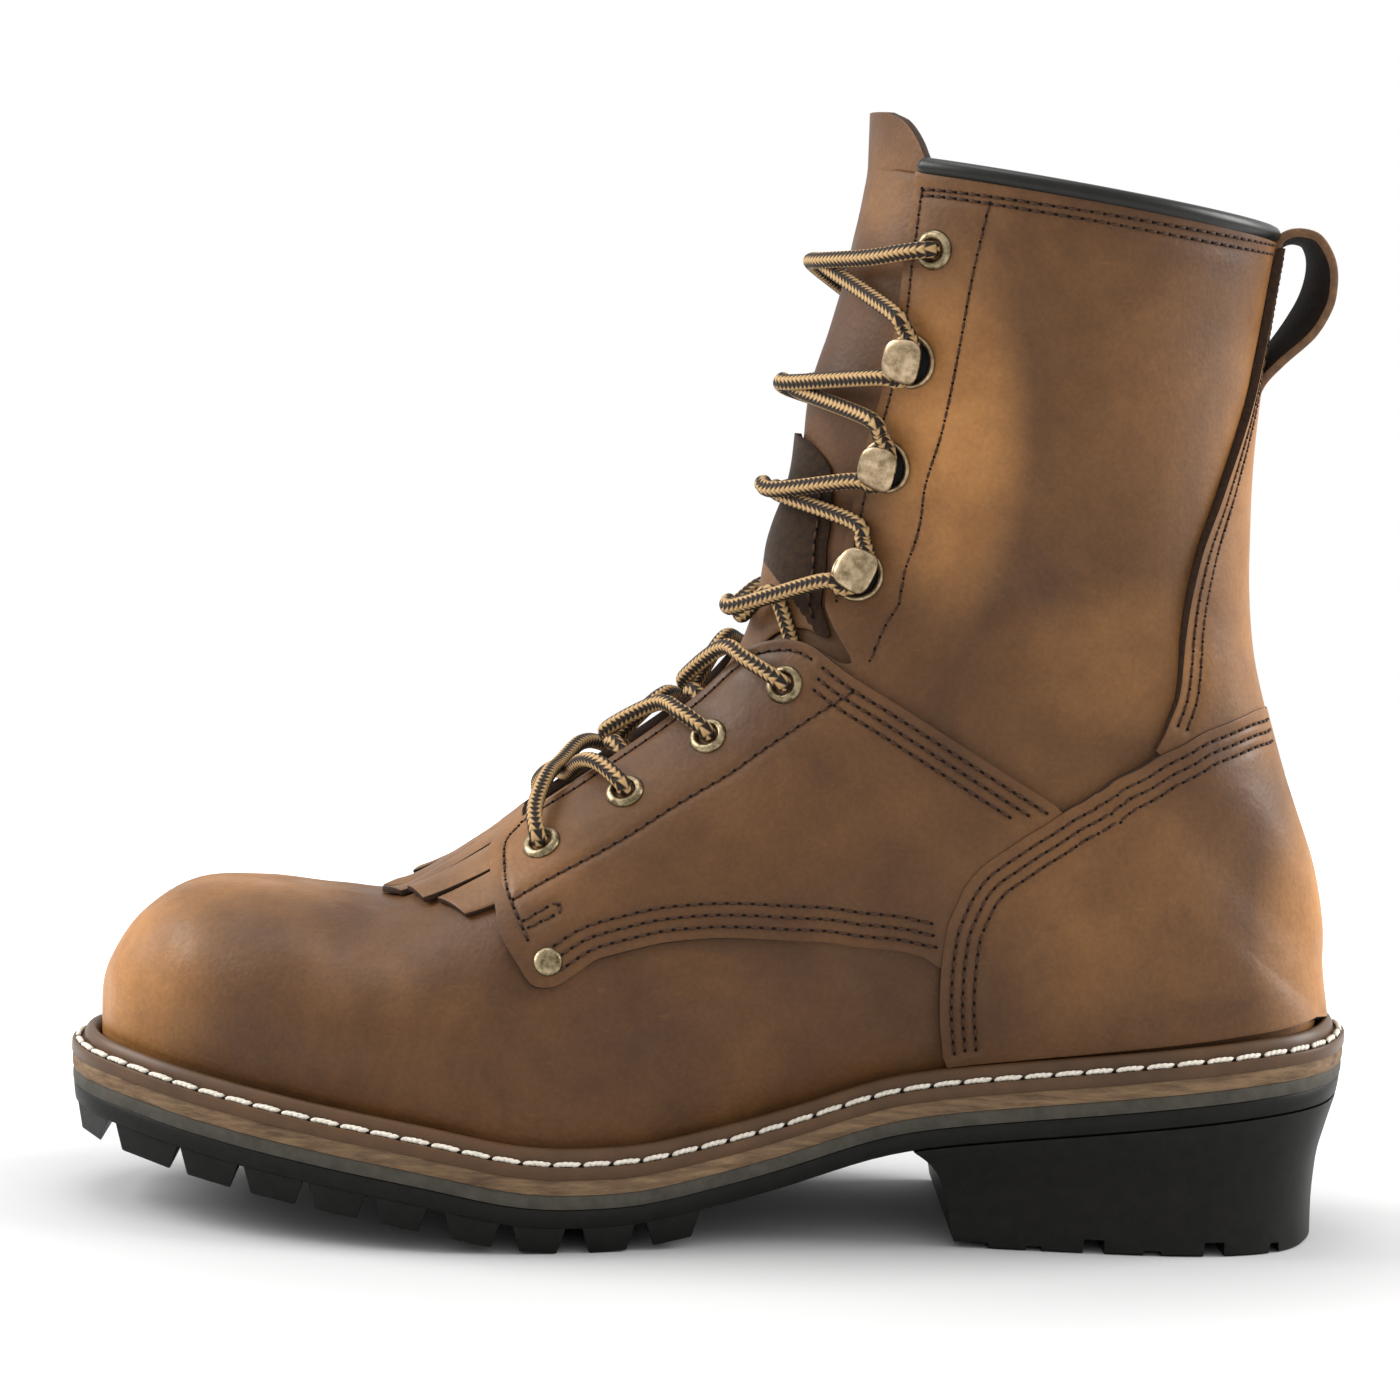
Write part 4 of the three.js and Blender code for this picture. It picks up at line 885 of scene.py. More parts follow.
def matte_stuff(name, dark, light, size, depth, roughness, stretch=(1, 1, 1), sheen=0.0, specular=0.25):
    """A mottled matte surface with its own grain size and relief, both in millimetres."""
    material, tree, shader = new_material(name, roughness, sheen=sheen, specular=specular)
    place = node(tree, MAPPING, {"Vector": node(tree, COORDINATES, {}, "Object"), "Scale": stretch}, "Vector")
    mottle = node(tree, NOISE, {"Vector": place, "Scale": grain(size), "Detail": 6, "Roughness": 0.7}, "Fac")
    tone = node(tree, RAMP, {"Fac": mottle}, "Color", [(0.34, linear(dark)), (0.68, linear(light))])
    tree.links.new(tone, shader.inputs["Base Color"])
    relief = node(tree, BUMP, {"Height": mottle, "Distance": depth * MM, "Strength": 0.8}, "Normal")
    tree.links.new(relief, shader.inputs["Normal"])
    return material


def worn_brass(name, dark, light):
    """Plated steel with an antique brass wash, rubbed bright where it is touched."""
    material, tree, shader = new_material(name, 0.34, metallic=1.0)
    place = node(tree, COORDINATES, {}, "Object")
    wear = node(tree, NOISE, {"Vector": place, "Scale": grain(2.6), "Detail": 5, "Roughness": 0.65}, "Fac")
    tone = node(tree, RAMP, {"Fac": wear}, "Color", [(0.36, linear(dark)), (0.62, linear(light))])
    tree.links.new(tone, shader.inputs["Base Color"])
    rough = node(tree, SPREAD, {"Value": wear, "To Min": 0.5, "To Max": 0.24}, "Result")
    tree.links.new(rough, shader.inputs["Roughness"])
    dents = node(tree, NOISE, {"Vector": place, "Scale": grain(0.8), "Detail": 3, "Roughness": 0.55}, "Fac")
    relief = node(tree, BUMP, {"Height": dents, "Distance": 0.04 * MM, "Strength": 0.6}, "Normal")
    tree.links.new(relief, shader.inputs["Normal"])
    return material


LACE_ROWS = 4.0
PICK_LENGTH = 1.5


def braided_lace(name, dark, light):
    """Round polyester braid: rows of light picks slanting between dark carriers."""
    material, tree, shader = new_material(name, 0.75, specular=0.3)
    place = node(tree, UV, {}, "UV")
    along, around = (node(tree, SPLIT, {"Vector": place}, axis) for axis in "XY")
    turn = node(tree, MATH, {0: around, 1: LACE_ROWS}, operation="MULTIPLY")
    fold = node(tree, MATH, {0: turn, 1: 0.5}, operation="PINGPONG")
    fold = node(tree, MATH, {0: fold, 1: 1.5}, operation="MULTIPLY")
    slant = node(tree, MATH, {0: along, 1: 1 / PICK_LENGTH}, operation="MULTIPLY")
    slant = node(tree, MATH, {0: slant, 1: fold}, operation="ADD")
    slant = node(tree, MATH, {0: slant, 1: 2 * math.pi}, operation="MULTIPLY")
    pick = node(tree, MATH, {0: slant}, operation="SINE")
    turn = node(tree, MATH, {0: turn, 1: 2 * math.pi}, operation="MULTIPLY")
    row = node(tree, MATH, {0: turn}, operation="COSINE")
    ridge = node(tree, MATH, {0: row, 1: 0.8}, operation="MULTIPLY")
    height = node(tree, MATH, {0: pick, 1: 0.6}, operation="MULTIPLY")
    height = node(tree, MATH, {0: ridge, 1: height}, operation="ADD")
    shade = node(tree, SPREAD, {"Value": height, "From Min": -0.25, "From Max": 0.6}, "Result")
    tone = node(tree, MIX, {0: shade, 6: linear(dark), 7: light}, 2, data_type="RGBA")
    tree.links.new(tone, shader.inputs["Base Color"])
    braid = node(tree, MATH, {0: row, 1: pick}, operation="ADD")
    relief = node(tree, BUMP, {"Height": braid, "Distance": 0.18 * MM, "Strength": 0.6}, "Normal")
    tree.links.new(relief, shader.inputs["Normal"])
    return material


def plain(name, colour, roughness, specular=0.2):
    material, tree, shader = new_material(name, roughness, specular=specular)
    shader.inputs["Base Color"].default_value = colour
    return material


def studio_floor_painted_shadow():
    """Pale paper with a painted shadow: a little darker under the boot, paler further out."""
    material, tree, shader = new_material("pale_floor_painted_shadow", 1.0, specular=0.0)
    place = node(tree, COORDINATES, {}, "Object")
    flat = node(tree, VECTOR_MATH, {0: place, 1: (1 / 0.25, 1 / 0.2, 0)}, operation="MULTIPLY")
    reach = node(tree, VECTOR_MATH, {0: flat}, "Value", operation="LENGTH")
    away = {"Value": reach, "From Min": 0.5, "From Max": 1.3}
    away = node(tree, SPREAD, away, "Result", interpolation_type="SMOOTHSTEP")
    # Painted shadow: darker grey near the boot, paler further out.
    tone = node(tree, MIX, {0: away, 6: linear("#bababa"), 7: linear("#e0e0e0")}, 2, data_type="RGBA")
    tree.links.new(tone, shader.inputs["Base Color"])
    return material


MATERIALS = {}


def make_materials():
    """Each finish of the boot, by the name that its pieces use."""
    chosen = bpy.context.scene.boot_settings
    leather = [chosen.leather_dark, chosen.leather_middle, chosen.leather_light, chosen.leather_pale]
    # The fourth tone is the pulled-up tone, also used for the painted highlight spots.
    grain_side = [linear(tone) for tone in ("#4c331c", "#644426", "#775332", "#94693e")]
    MATERIALS.update(
        leather=oiled_leather("oiled_cowhide", *leather),
        lining=matte_stuff("lining_flesh_side", "#33251a", "#4d3929", 2.2, 0.12, 0.85),
        cut_edge=matte_stuff("cut_leather_edge", "#22150d", "#3a281a", 1.2, 0.15, 0.8),
        suede=matte_stuff("dark_suede", "#1b0f06", "#33200b", 1.5, 0.2, 0.95, sheen=0.12),
        kiltie=oiled_leather("kiltie_grain", *grain_side),
        # Heel and welt strip: waxed vegetable-tanned leather.
        welt=matte_stuff("waxed_welt", "#43301f", "#563c26", 18, 0.1, 0.42),
        tan=matte_stuff("stacked_leather", "#4f3c2b", "#80674c", 2.6, 0.3, 0.75, stretch=(0.22, 0.5, 1.6)),
        grey=matte_stuff("grey_rubber", "#35322b", "#47433b", 5, 0.1, 0.7),
        rubber=matte_stuff("black_lug_rubber", "#0a0a08", "#141310", 4, 0.1, 0.5, specular=0.16),
        brass=worn_brass("antique_brass", "#4c422e", "#a09072"),
        hook_metal=worn_brass("worn_hook_brass", "#75644a", "#b29d80"),
        # Near-black finish for discs that paint the shade in eyelet bores and under hook rings.
        dark_cup=plain("black_painted_shade_disc", linear("#070605"), 0.7),
        lace=braided_lace("braided_cord", "#1b110a", chosen.lace_light),
        thread=plain("brown_thread", chosen.thread, 0.6),
        # Near-black finish for beads that paint the shade in needle holes.
        hole=plain("needle_hole", linear("#080504"), 0.9),
        white_thread=matte_stuff("white_welt_thread", "#b8b0a2", "#e2dccf", 0.7, 0.2, 0.7),
        binding=matte_stuff("rolled_black_edge", "#080705", "#100e0a", 6, 0.08, 0.38, specular=0.3),
        loop_edge=matte_stuff("burnished_loop_edge", "#4a3524", "#6b4c30", 2.4, 0.12, 0.65),
        loop_inside=matte_stuff("loop_flesh_side", "#120c08", "#261910", 1.6, 0.2, 0.9),
    )


# Upper


def dense(start, end, step):
    return np.linspace(start, end, max(int(round((end - start) / step)), 1) + 1)


def ladder(side, stations, low, high, lift, groove=True):
    """Place function for a band of leather between two edges."""

    def place(s, t):
        v = np.interp(s, np.linspace(0, 1, len(stations)), stations)
        a, b = low(v), high(v)
        u = a + (b - a) * t
        height = lift(v, u, t) if callable(lift) else lift
        points = on_face(side, v, u, height)
        return grooved(points, normals(side, v, u)) if groove else points

    return place


FOOT_STATIONS = np.concatenate(
    [
        dense(0, 2, 0.08), dense(2, 6.6, 0.13)[1:], dense(6.6, 16.5, 0.11)[1:],
        dense(16.5, 20, 0.1)[1:],
    ]
)
SHAFT_STATIONS = dense(20, COLLAR, 0.14)


def build_upper():
    bm = bmesh.new()
    for side in SIDES:
        for stations in (FOOT_STATIONS, SHAFT_STATIONS):
            place = ladder(side, stations, lambda v: 0 * v, throat_edge, 0.0)
            add_patch(bm, len(stations) - 1, 58, place)
        skirt = ladder(side, FOOT_STATIONS, lambda v: 0 * v - 0.27, lambda v: 0 * v, 0.0, groove=False)
        add_patch(bm, len(FOOT_STATIONS) - 1, 2, skirt)
    bmesh.ops.remove_doubles(bm, verts=bm.verts, dist=0.03 * MM)
    facing_out(bm, (20, 0, 90))
    obj = piece("upper_shell", bm, ["leather", "lining", "cut_edge"], ["upper"])
    thicken(obj, WALL, inner=1, rim=2, bevel=0.45)


QUARTER_STATIONS = np.concatenate(
    [
        dense(7.13, 7.6, 0.012), dense(7.6, 13.4, 0.07)[1:], dense(13.4, 14.1, 0.03)[1:],
        dense(14.1, 17.68, 0.06)[1:],
    ]
)


def quarter_foot(v):
    """Lower edge of the quarter; at the rear it runs on under the counter."""
    return monotone(QUARTER_BOTTOM, v) - 0.04 * np.clip((v - 13.35) / 0.25, 0, 1)


def build_quarters():
    for side, label in ((MEDIAL, "medial"), (LATERAL, "lateral")):
        bm = bmesh.new()
        place = ladder(side, QUARTER_STATIONS, quarter_foot, lambda v: monotone(QUARTER_TOP, v), OVERLAY_TOP)
        add_patch(bm, len(QUARTER_STATIONS) - 1, 64, place)
        facing_out(bm, (20, 0, 80))
        finishes = ["leather", "leather", "cut_edge"]
        obj = piece(f"quarter_leather_{label}", bm, finishes, [f"quarter_{label}"])
        thicken(obj, OVERLAY_TOP - 0.15, rim=2)


COUNTER_STATIONS = np.concatenate(
    [dense(12.98, 13.9, 0.02), dense(13.9, 24.5, 0.085)[1:], dense(24.5, 25.97, 0.03)[1:]]
)


def build_counter():
    bm = bmesh.new()
    for side in SIDES:

        def low(v):
            return np.interp(v, [12.9, 19.4, 20], [0.012, 0.012, 0])

        place = ladder(side, COUNTER_STATIONS, low, lambda v: monotone(COUNTER_TOP, v), COUNTER_TOP_LIFT)
        add_patch(bm, len(COUNTER_STATIONS) - 1, 64, place)
    bmesh.ops.remove_doubles(bm, verts=bm.verts, dist=0.05 * MM)
    facing_out(bm, (100, 0, 80))
    obj = piece("heel_counter", bm, ["leather", "leather", "cut_edge"], ["counter"])
    thicken(obj, COUNTER_TOP_LIFT - 0.15, rim=2)


STAY_STATIONS = np.concatenate([dense(22.6, 26.2, 0.03), dense(26.2, 32.93, 0.1)[1:]])
LOOP_STRAP = 2.3
LOOP_HALF = 11.3
# The loop's outer face in side view, x and z: its near edge leans out further than its far one.
LOOP_NEAR = [
    (124.2, 236.0), (125.6, 242.0), (128.3, 244.4), (132.2, 245.0), (136.3, 243.9), (139.2, 240.6),
    (141.0, 236.4), (141.4, 231.4), (140.5, 226.0), (136.8, 219.2), (129.9, 212.5), (125.4, 207.3),
    (123.8, 202.4), (123.2, 197.0),
]
LOOP_FAR = [
    (126.8, 236.0), (128.9, 241.0), (131.0, 243.0), (134.0, 243.8), (137.4, 242.8), (139.2, 239.8),
    (139.7, 236.0), (139.1, 231.6), (137.5, 226.9), (134.4, 221.2), (130.6, 215.3), (127.2, 210.4),
    (125.4, 204.6), (124.6, 198.0),
]


def build_backstay():
    bm = bmesh.new()
    for side in SIDES:
        place = ladder(
            side,
            STAY_STATIONS,
            lambda v: np.maximum(monotone(BACKSTAY_REAR[:5], np.minimum(v, 26.1)) - 0.05, 0),
            lambda v: monotone(BACKSTAY_FRONT, v),
            OVERLAY_TOP,
        )
        add_patch(bm, len(STAY_STATIONS) - 1, 22, place)
    bmesh.ops.remove_doubles(bm, verts=bm.verts, dist=0.05 * MM)
    facing_out(bm, (100, 0, 190))
    obj = piece("back_strip", bm, ["leather", "leather", "cut_edge"], ["backstay"])
    thicken(obj, OVERLAY_TOP - 0.15, rim=2)


def build_loop():
    rails = []
    for rail, y in ((LOOP_NEAR, -LOOP_HALF), (LOOP_FAR, LOOP_HALF)):
        run = smooth_path([(x, y, z) for x, z in rail], 12)
        rails.append(run)
    near, far = rails
    middle = (near + far) / 2
    index, length = resampled(middle, 1.0)
    near, far = sampled(near, index), sampled(far, index)
    rise = np.gradient((near + far) / 2, axis=0)
    out = unit(np.cross(far - near, rise))

    def place(s, t):
        k = np.rint(s * (len(near) - 1)).astype(int)
        belly = 0.7 * np.sin(math.pi * t) * np.sin(math.pi * s)
        return near[k] * (1 - t)[:, None] + far[k] * t[:, None] + out[k] * belly[:, None]

    bm = bmesh.new()
    add_patch(bm, len(near) - 1, 18, place)
    facing_out(bm, (130, 0, 226))
    obj = piece("pull_loop", bm, ["leather", "loop_inside", "loop_edge"])
    thicken(obj, LOOP_STRAP, inner=1, rim=2, bevel=0.45)


BINDING_RADIUS = 2.1


def build_binding():
    u = np.concatenate([np.linspace(0.734, 0, 60), np.linspace(0, 0.734, 60)[1:]])
    side = np.concatenate([np.full(60, MEDIAL), np.full(59, LATERAL)])
    points = on_face(side, np.full(119, COLLAR), u, -WALL / 2) + [0, 0, BINDING_RADIUS - 0.6]
    bm = bmesh.new()
    tube(bm, points, BINDING_RADIUS, 14, np.tile([0.0, 0.0, 1.0], (119, 1)))
    bmesh.ops.remove_doubles(bm, verts=bm.verts, dist=0.01 * MM)
    close_ends(bm)
    bmesh.ops.recalc_face_normals(bm, faces=bm.faces)
    piece("collar_roll", bm, ["binding"], ["collar_binding"])


TONGUE_STATIONS = np.concatenate([dense(8.6, 32.6, 0.2), dense(32.6, 34.05, 0.04)[1:]])


def crest(v):
    return 0 * v + 1


def tongue_edge(v):
    return monotone(TONGUE_EDGE, v)


def kiltie_edge(v):
    return monotone(KILTIE_EDGE, v) - 0.004


def build_tongue():
    bm = bmesh.new()
    for side in SIDES:

        def lift(v, u, t):
            flare = np.clip(v - 33.0, 0, 1.1)
            return -3.2 - 1.4 * (1 - t) ** 2 * (v < 33) + 0.6 * flare

        place = ladder(side, TONGUE_STATIONS, tongue_edge, crest, lift, groove=False)
        add_patch(bm, len(TONGUE_STATIONS) - 1, 20, place)
    bmesh.ops.remove_doubles(bm, verts=bm.verts, dist=0.08 * MM)
    facing_out(bm, (60, 0, 150))
    obj = piece("tongue_leather", bm, ["leather", "lining", "cut_edge"], ["tongue"])
    thicken(obj, 2.1, inner=1, rim=2, bevel=0.5)


def build_kiltie():
    """The kiltie under the laces, grain side out, and its tall flap, flesh side out."""
    for name, stations, material, nodes in (
        ("kiltie_body", dense(6.9, 15.35, 0.12), "kiltie", ["kiltie"]),
        ("kiltie_flap", np.concatenate([dense(15.2, 21.6, 0.12), dense(21.6, 22.15, 0.03)[1:]]), "suede", []),
    ):
        bm = bmesh.new()
        for side in SIDES:

            def lift(v, u, t):
                drop = np.interp(v, [6.9, 7.2, 7.6, 8.0], [0.0, 0.25, 0.8, 1.0])
                return (1 - drop) * 2.2 + drop * (-0.9 - 1.8 * (1 - t) ** 2)

            place = ladder(side, stations, kiltie_edge, crest, lift, groove=False)
            add_patch(bm, len(stations) - 1, 14, place)
        bmesh.ops.remove_doubles(bm, verts=bm.verts, dist=0.08 * MM)
        facing_out(bm, (20, 0, 100))
        obj = piece(name, bm, [material, "suede", "cut_edge"], nodes)
        thicken(obj, 1.7, inner=1, rim=2, bevel=0.4)


# Strips of the fringe: the tip's inner and outer corner and the root's, as (v, u), and how far the tip lifts.
FRINGE = [
    ((5.64, 0.997), (5.94, 0.931), (7.6, 0.997), (7.6, 0.909), 0.5),
    ((6.05, 0.922), (6.31, 0.821), (7.6, 0.903), (7.7, 0.799), 0.9),
    ((6.47, 0.810), (6.84, 0.715), (7.7, 0.793), (7.75, 0.690), 0.45),
]


def build_fringe():
    """Fringed foot of the kiltie: narrow strips with slanted ends, each lifting a little by itself."""
    bm = bmesh.new()
    for side in SIDES:
        for inner, outer, inner_root, outer_root, rise in FRINGE:
            corners = np.array([inner, outer, inner_root, outer_root])

            def place(s, t, c=corners, side=side, rise=rise):
                tip = c[0] + (c[1] - c[0]) * t[:, None]
                root = c[2] + (c[3] - c[2]) * t[:, None]
                at = tip + (root - tip) * s[:, None]
                wave = 0.25 * np.sin(4 * s + 9 * rise) * (1 - s)
                height = 2.05 + rise * (1 - s) ** 2 + wave - 0.5 * (2 * t - 1) ** 2
                return on_face(side, at[:, 0], at[:, 1], height)

            add_patch(bm, 26, 10, place)
    facing_out(bm, (-60, 0, 50))
    obj = piece("kiltie_fringe", bm, ["kiltie", "suede", "cut_edge"])
    thicken(obj, 1.6, inner=1, rim=2, bevel=0.3)


# Thread


def unit(a):
    return a / (np.linalg.norm(a, axis=-1, keepdims=True) + 1e-12)


def thread_piece(name, material, centre, run, up, half_length, radius, segments=6, rings=4):
    """Many small beads as one piece, each drawn out along its own run."""
    run, up = unit(run), unit(up - (up * run).sum(1, keepdims=True) * run)
    across = np.cross(up, run)
    whole = bmesh.new()
    for start in range(0, len(centre), 50):
        part = bmesh.new()
        for c, r, a, n in zip(*(x[start : start + 50] for x in (centre, run, across, up))):
            matrix = Matrix((r * half_length * MM, a * radius * MM, n * radius * MM)).transposed().to_4x4()
            matrix.translation = Vector(c) * MM
            bmesh.ops.create_uvsphere(part, u_segments=segments, v_segments=rings, radius=1.0, matrix=matrix)
        mesh = bpy.data.meshes.new("part")
        part.to_mesh(mesh)
        part.free()
        whole.from_mesh(mesh)
        bpy.data.meshes.remove(mesh)
    bmesh.ops.recalc_face_normals(whole, faces=whole.faces)
    return piece(name, whole, [material])


def build_stitches():
    for side, label in ((MEDIAL, "medial"), (LATERAL, "lateral")):
        dashes, holes = [], []
        for lift, path in SEAMS:
            if lift is None:
                lift = -1.65
            fine = sampled(path, np.linspace(0, len(path) - 1, 3 * len(path)))
            points = on_face(side, fine[:, 0], fine[:, 1], lift - GROOVE_DEPTH + 0.12)
            up = normals(side, fine[:, 0], fine[:, 1])
            index, length = resampled(points, bpy.context.scene.boot_settings.stitch_pitch / MM)
            run, up, _ = frames_of(points, up)
            for store, at in ((dashes, (index[:-1] + index[1:]) / 2), (holes, index)):
                store.append(np.stack([sampled(a, at) for a in (points, run, up)]))
        for name, store, material, half, radius, segments in (
            ("seam_thread", dashes, "thread", 1.2, 0.42, 6),
            # Near-black beads at each needle hole: painted shade in the holes.
            ("needle_holes", holes, "hole", 0.5, 0.42, 5),
        ):
            at, run, up = np.concatenate(store, axis=1)
            thread_piece(f"{name}_{label}", material, at, run, up, half, radius, segments)


WELT_SEAM_INSET = 1.55


def outline_run(inset, height, count=400):
    """Points round the whole boot at an inset: along the medial side and back along the lateral."""
    t = HEEL_ROW * (1 - np.cos(np.linspace(0, math.pi, count))) / 2
    medial, lateral = outline(t, MEDIAL, inset), outline(t, LATERAL, inset)
    plan = np.concatenate([medial * [1, -1], (lateral * [1, 1])[::-1][1:]])
    return np.concatenate([plan, height(plan[:, 0])[:, None]], 1)


def build_welt_stitches():
    points = outline_run(WELT_SEAM_INSET, lambda x: seat(x) + WELT + 0.35)
    pitch = bpy.context.scene.boot_settings.welt_pitch / MM
    index, length = resampled(points, pitch)
    run, up, across = frames_of(points, np.tile([0.0, 0.0, 1.0], (len(points), 1)))
    middle = (index[:-1] + index[1:]) / 2
    at, r, n = (sampled(a, middle) for a in (points, run, up))
    r, n = unit(r), unit(n)
    side = np.cross(n, r)
    lean = 0.3 + np.array([random.Random(3).uniform(-0.05, 0.05) for _ in middle])[:, None]
    centres, ways = [], []
    for ply in (-1.5, -0.5, 0.5, 1.5):
        centres.append(at + r * ply * 1.35 + n * (0.22 - 0.1 * abs(ply)))
        ways.append(r + side * lean + n * 0.12)
    centres, ways, ups = np.concatenate(centres), np.concatenate(ways), np.concatenate([n] * 4)
    thread_piece("welt_thread", "white_thread", centres, ways, ups, 1.45, 0.62, 7, 5)
    holes = at + r * pitch / 2 - n * 0.3
    # Near-black beads between the welt stitches: painted shade in the holes.
    thread_piece("welt_holes", "hole", holes, r, n, 0.8, 0.5)


# Sole

RING_COUNT = 150


def build_ring(name, profile, material, nodes, bevel_angle=40):
    """A closed profile of inset and height carried round the outline."""
    rings = [outline_run(inset, lambda x, up=up: seat(x) + up, RING_COUNT)[:-1] for inset, up in profile]
    rings = np.array(rings)
    count, across = rings.shape[1], len(profile)

    def place(s, t):
        i = np.rint(s * count).astype(int) % count
        j = np.rint(t * across).astype(int) % across
        return rings[j, i]

    bm = bmesh.new()
    add_patch(bm, count, across, place)
    bmesh.ops.remove_doubles(bm, verts=bm.verts, dist=0.01 * MM)
    bmesh.ops.recalc_face_normals(bm, faces=bm.faces)
    return piece(name, bm, [material], nodes, bevel_angle)


def build_slab(bm, levels):
    """A plate following the sole's bend through levels of inset and height."""
    t = HEEL_ROW * (1 - np.cos(np.linspace(0, math.pi, 130))) / 2

    def edge(side, inset, height):
        plan = outline(t, side, inset)
        return np.stack([plan[:, 0], side * plan[:, 1], height(plan[:, 0])], 1)

    loops = [(edge(MEDIAL, inset, height), edge(LATERAL, inset, height)) for inset, height in levels]
    n = len(t) - 1
    for k in range(2):

        def wall(s, u, k=k):
            i = np.rint(s * n).astype(int)
            j = np.rint(u * (len(levels) - 1)).astype(int)
            return np.array([loop[k] for loop in loops])[j, i]

        add_patch(bm, n, len(levels) - 1, wall)
    for level in (0, -1):

        def cap(s, u, level=level):
            i = np.rint(s * n).astype(int)
            return loops[level][0][i] * (1 - u)[:, None] + loops[level][1][i] * u[:, None]

        add_patch(bm, n, 6, cap)
    bmesh.ops.remove_doubles(bm, verts=bm.verts, dist=0.005 * MM)
    bmesh.ops.recalc_face_normals(bm, faces=bm.faces)


def build_welt():
    arc = [(4.75 - 1.95 * math.cos(a), WELT - 0.2 + 3.75 * math.sin(a)) for a in np.linspace(0.12, 2.5, 12)]
    profile = [(0.25, 0.02), (0.0, 0.3), (0.0, WELT - 0.55), (0.18, WELT - 0.12)]
    profile += [(0.55, WELT), (1.1, WELT - 0.12)]
    profile += [(1.55, WELT - 0.35), (2.0, WELT - 0.15), (2.6, WELT - 0.1)] + arc
    profile += [(6.75, WELT + 1.2), (6.75, 0.02)]
    build_ring("welt_and_bead", profile, "welt", ["welt"], 45)


def build_midsoles():
    for name, node_name, material, slot, low, high in (
        ("leather_layer", "leather_midsole", "tan", "tan", -LEATHER_MIDSOLE, 0.0),
        ("grey_layer", "midsole", "grey", "grey", -LEATHER_MIDSOLE - MIDSOLE, -LEATHER_MIDSOLE),
    ):
        bm = bmesh.new()
        inset = 0.25 if material == "tan" else 0.45
        heights = np.linspace(low + 0.06, high - 0.06, 6)
        insets = [inset + 0.25, inset + 0.03, inset, inset, inset + 0.03, inset + 0.25]
        build_slab(bm, [(i, lambda x, h=h: seat(x) + h) for i, h in zip(insets, heights)])
        piece(name, bm, [material], [node_name], 60)


SOLE_TOP = -LEATHER_MIDSOLE - MIDSOLE
SIDE_DRAFT = 0.7


def section_at(x, side, inset):
    low, high = 0.0, float(HEEL_ROW)
    for _ in range(30):
        middle = (low + high) / 2
        if outline(middle, side, inset)[0] < x:
            low = middle
        else:
            high = middle
    return (low + high) / 2


def reach(x, side, inset):
    return side * float(outline(section_at(x, side, inset), side, inset)[1])


def block(bm, corners_low, corners_high, bevel):
    """A tapered block from its four low and four high corners, its edges rounded."""
    made = bmesh.ops.create_cube(bm, size=1)["verts"]
    ordered = sorted(made, key=lambda v: (v.co.z, v.co.y, v.co.x))
    target = [corners_low[0], corners_low[1], corners_low[2], corners_low[3]]
    target += [corners_high[0], corners_high[1], corners_high[2], corners_high[3]]
    for v, p in zip(ordered, target):
        v.co = Vector(p) * MM
    edges = list({e for v in made for e in v.link_edges})
    bmesh.ops.bevel(bm, geom=edges, offset=bevel * MM, segments=2, profile=0.5, affect="EDGES", material=-1)


CHANNEL = 5.0
LUG_FLANK = 2.3


def build_outsole():
    bm = bmesh.new()
    bottom = SOLE_TOP - OUTSOLE
    heights = [bottom, bottom + 0.5, bottom + 2.5, SOLE_TOP - 0.35, SOLE_TOP - 0.06]
    insets = [1.7, 1.15, 0.85, SIDE_DRAFT, 0.95]
    build_slab(bm, [(i, lambda x, h=h: seat(x) + h) for i, h in zip(insets, heights)])
    for start, end in LUGS:
        for side in SIDES:
            a, b = (start - 0.5) * LENGTH, (end - 0.5) * LENGTH
            wide_low = [a, b]
            wide_high = [a - LUG_FLANK, b + LUG_FLANK]

            def corner(x, low):
                inset = 2.3 if low else 1.35
                z = float(seat(x)) + bottom + (-LUG_HEIGHT if low else 1.6)
                middle = side * (CHANNEL / 2 if low else CHANNEL * 0.3)
                outer = reach(x, side, inset)
                inner_first = side > 0
                pair = [(x, middle, z), (x, outer, z)]
                return pair if inner_first else pair[::-1]

            low_corners, high_corners = [], []
            for k in range(2):
                for xs, store, low in ((wide_low, low_corners, True), (wide_high, high_corners, False)):
                    for x in xs:
                        store.append(corner(x, low)[k])
            block(bm, low_corners, high_corners, 0.45)
    piece("lug_outsole", bm, ["rubber"], ["outsole"], 50)


HEEL_HOLLOW_END = 0.7165


def box_corners(start, end, height):
    """Corners of a block across the whole heel at one height."""
    return [(start, -80, height), (end, -80, height), (start, 80, height), (end, 80, height)]


